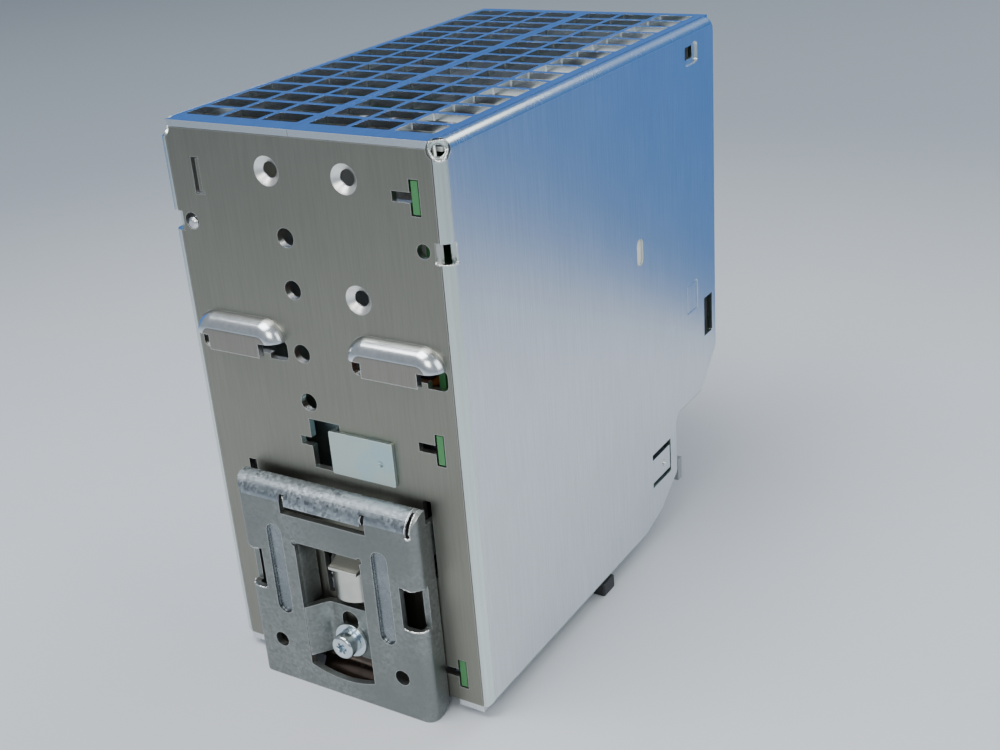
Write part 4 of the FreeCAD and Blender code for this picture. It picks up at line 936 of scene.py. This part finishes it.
for node, cans in (
        ("bulk_capacitors", [(-21.0, 22.0, 12.5, 42.0), (-21.0, 49.5, 12.5, 42.0)]),
        ("output_capacitors", [(-97.0, 53.5 + 14.3 * i, 6.3, 28.0) for i in range(3)])):
    skins = [(turned(sleeve(r, length), y, z), False, True) for y, z, r, length in cans]
    skin = grid_piece(node + "_sleeves", skins, "can_sleeve", "case")
    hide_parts(node)
    tops = [(vented_top(y, z, r, BOARD_X + length), False, True) for y, z, r, length in cans]
    grid_piece(node + "_tops", tops, "sink_aluminium", "case")

# %% [markdown]
# **Small board parts.** Chips and resistors fill free places of the board. A seeded
# draw proposes places, and any that would touch the footprint of a CAD node or of an
# earlier part is dropped.

# %% Chips and resistors
def small_box(x0, x1, y0, y1, z0, z1, ease=0.12):
    """Grid of a box with eased upper edges, open towards the board."""
    rings = [(x0, 0.0), (x1 - ease, 0.0), (x1, ease), (x1, min(y1 - y0, z1 - z0) / 2 - 0.01)]
    return np.array([[(x, y0 + e, z0 + e), (x, y1 - e, z0 + e), (x, y1 - e, z1 - e),
                      (x, y0 + e, z1 - e)] for x, e in rings])


def board_part(y, z, half_y, half_z, tall, ease=0.12):
    """Box on the board, given by its middle, half sizes and height."""
    box = small_box(BOARD_X, BOARD_X + tall, y - half_y, y + half_y, z - half_z, z + half_z, ease)
    return box, False, True


def overlaps(spot, others):
    """True if a (y0, y1, z0, z1) rectangle meets any of the others."""
    return any(spot[0] < t[1] and spot[1] > t[0] and spot[2] < t[3] and spot[3] > t[2]
               for t in others)


MARGIN = 0.6      # free strip round each CAD node
SPACING = 0.5     # free strip round each small part
MOST = 60
taken = []
for node in frame["nodes"]:
    low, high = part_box(node)
    on_board = low[0] / MM < BOARD_X + 3.0 and BODY_OF[node] == "case"
    if on_board and node != "main_pcb" and "shell" not in node:
        taken.append((low[1] / MM - MARGIN, high[1] / MM + MARGIN,
                      low[2] / MM + HEIGHT_SHIFT - MARGIN, high[2] / MM + HEIGHT_SHIFT + MARGIN))
rng = np.random.default_rng(40)
bodies, ends, made = [], [], 0
for _ in range(900):
    y, z = rng.uniform(-103, -5), rng.uniform(32, 119)
    kind = rng.choice(3)   # resistor lengthways, resistor upright, chip
    half_y, half_z, tall = ((1.0, 0.6, 0.5), (0.6, 1.0, 0.5), (2.4, 1.9, 1.2))[kind]
    spot = (y - half_y - SPACING, y + half_y + SPACING, z - half_z - SPACING, z + half_z + SPACING)
    if made >= MOST or overlaps(spot, taken) or (kind == 2 and made % 6):
        continue
    taken.append(spot)
    made += 1
    bodies.append(board_part(y, z, half_y, half_z, tall))
    for side in (-1, 1):
        if kind == 2:
            ends += [board_part(y - 1.8 + 1.2 * k, z + side * 2.3, 0.2, 0.45, 0.5, 0.05)
                     for k in range(4)]
        elif kind == 1:
            ends.append(board_part(y, z + side * 0.85, 0.62, 0.2, 0.53, 0.05))
        else:
            ends.append(board_part(y + side * 0.85, z, 0.2, 0.62, 0.53, 0.05))
grid_piece("board_chips", bodies, "chip_black", "case", smooth=False)
grid_piece("board_chip_ends", ends, "solder", "case", smooth=False)
print("small board parts:", made)

# %% [markdown]
# **Signs on the front.** Plus, minus and earth signs sit over the terminals: thin
# raised bars with no lettering. They lie on the panel's own face.

# %% Terminal signs
SIGN_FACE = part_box("front_panel")[0][1] / MM


def bar(x, z, wide, tall):
    """Grid of one thin bar on the front face."""
    low, high = SIGN_FACE - 0.05, SIGN_FACE + 0.1
    left, right, foot, top = x - wide / 2, x + wide / 2, z - tall / 2, z + tall / 2
    outline = [(left, foot), (right, foot), (right, top), (left, top)]
    return np.array([[(px, high, pz) for px, pz in outline], [(px, low, pz) for px, pz in outline],
                     [(x, low, z)] * 4])


signs = []
for i, sign in enumerate("++--"):
    x = -2.4 + 7.62 * (i + 0.5)
    signs.append(bar(x, 40.0, 2.4, 0.5))
    if sign == "+":
        signs.append(bar(x, 40.0, 0.5, 2.4))
EARTH_X = -24.3
for height, wide in ((41.0, 2.6), (40.1, 1.7), (39.2, 0.8)):
    signs.append(bar(EARTH_X, height, wide, 0.4))
signs.append(bar(EARTH_X, 42.2, 0.4, 2.2))
sign_grids = [(g, False, True) for g in signs]
grid_piece("terminal_signs", sign_grids, "printed_mark", "case", smooth=False)

# %% [markdown]
# ## Stage, light and camera
#
# A pale floor and soft studio light. Bare metal shows what is around it, so the
# lamps are large and soft, in a room of one pale colour.

# %% Floor
FLOOR_Z = cad_box[0][2]


def floor_finish():
    """Pale matt floor with a trace of unevenness, and a painted pool of light: darker away from its
    middle.
    """
    material, tree, shader = start_finish("floor", (0.62, 0.65, 0.68), 0.55)
    coords = add(tree, "ShaderNodeTexCoord")
    uneven = noise(tree, coords.outputs["Object"], 8.0)
    away = add(tree, "ShaderNodeVectorMath", operation="LENGTH")
    tree.links.new(coords.outputs["Object"], away.inputs[0])
    near = mix_colour(tree, uneven.outputs["Fac"], (0.62, 0.66, 0.70), (0.68, 0.71, 0.75))
    # painted pool of light: the floor darkens away from its middle
    painted_falloff = ramp(tree, away.outputs["Value"], 0.12, 0.55)
    floor = mix_colour(tree, painted_falloff, near, (0.33, 0.38, 0.44))
    tree.links.new(floor, shader.inputs["Base Color"])
    return material


def stage_grid(name, points, material):
    """Stage piece in metres from a grid of points (rows, columns, 3)."""
    rows, columns = points.shape[:2]
    index = np.arange(rows * columns).reshape(rows, columns)
    mesh = bpy.data.meshes.new(name)
    mesh.from_pydata(points.reshape(-1, 3).tolist(), [], quads(index).tolist())
    mesh.materials.append(material)
    piece = bpy.data.objects.new(name, mesh)
    bpy.context.scene.collection.objects.link(piece)
    return piece


across = np.linspace(-3.0, 3.0, 40)
x, y = np.meshgrid(across, across, indexing="ij")
stage_grid("floor", np.stack([x, y, np.full(x.shape, FLOOR_Z)], axis=-1), floor_finish())

# %% Light
def soft_lamp(name, place, target, size, power, colour=(1.0, 1.0, 1.0)):
    """Square area lamp aimed at a point."""
    data = bpy.data.lights.new(name, "AREA")
    data.size = size
    data.energy = power
    data.color = colour
    lamp = bpy.data.objects.new(name, data)
    lamp.location = place
    lamp.rotation_euler = (Vector(target) - Vector(place)).to_track_quat("-Z", "Y").to_euler()
    bpy.context.scene.collection.objects.link(lamp)
    return lamp


soft_lamp("overhead", (0.25, 0.35, 1.1), (0, -0.05, 0), 0.8, 14.0)
soft_lamp("before_rear", (-0.55, 1.1, 0.8), (0, 0, 0), 0.6, 6.0, (1.0, 0.99, 0.96))
soft_lamp("side", (-1.3, -0.1, 0.6), (0, -0.06, 0), 0.8, 5.0, (0.95, 0.98, 1.0))
soft_lamp("over_front", (-0.45, -1.3, 1.05), (0, -0.06, 0.06), 0.8, 9.0)

# %% [markdown]
# Polished metal needs something to mirror. An upright blue card stands just in front
# of the case, on the far side from the camera. The grille and the upper half of the
# wall pick up its colour. It belongs to the stage, and only reflections see it.

# %% Blue card
def blue_card():
    """Upright, slightly bowed emitting grid that only mirror-like rays can see."""
    material = bpy.data.materials.new("blue_card")
    material.use_nodes = True
    tree = material.node_tree
    shader = tree.nodes["Principled BSDF"]
    shader.inputs["Base Color"].default_value = (0.01, 0.03, 0.08, 1.0)
    coords = add(tree, "ShaderNodeTexCoord")
    height = add(tree, "ShaderNodeSeparateXYZ")
    tree.links.new(coords.outputs["Object"], height.inputs[0])
    upwards = ramp(tree, height.outputs["Z"], -0.06, 0.18)
    glow = mix_colour(tree, upwards, (0.05, 0.26, 0.72), (0.02, 0.22, 0.85))
    tree.links.new(glow, shader.inputs["Emission Color"])
    shader.inputs["Emission Strength"].default_value = 0.62
    up, along = np.meshgrid(np.linspace(FLOOR_Z, 0.20, 6), np.linspace(-0.75, 0.75, 24),
                            indexing="ij")
    x = -0.07 + 0.9456 * along
    y = -0.222 + 0.3253 * along - 0.05 * along ** 2
    card = stage_grid("blue_card", np.stack([x, y, up], axis=-1), material)
    for kind in ("camera", "diffuse", "shadow", "transmission", "volume_scatter"):
        setattr(card, "visible_" + kind, False)


blue_card()

world = bpy.data.worlds.new("room")
world.use_nodes = True
bpy.context.scene.world = world
background = world.node_tree.nodes["Background"]
background.inputs["Color"].default_value = (0.78, 0.85, 0.93, 1.0)
background.inputs["Strength"].default_value = 0.36

# %% Camera
camera_data = bpy.data.cameras.new("camera")
camera_data.lens = 49.0
camera_data.sensor_width = 36.0
camera_data.clip_start = 0.01
camera = bpy.data.objects.new("camera", camera_data)
camera.location = (-0.17116, 0.19591, 0.12352)
bpy.context.scene.collection.objects.link(camera)
RIGHT = Vector((-0.85349, -0.51604, -0.07249))
UP = Vector((0.15619, -0.38604, 0.90916))
BACK = RIGHT.cross(UP)
turn = Matrix((RIGHT, UP, BACK)).transposed()
camera.rotation_euler = turn.to_euler()
bpy.context.scene.camera = camera

# %% Bring the scene up to date
bpy.context.view_layer.update()
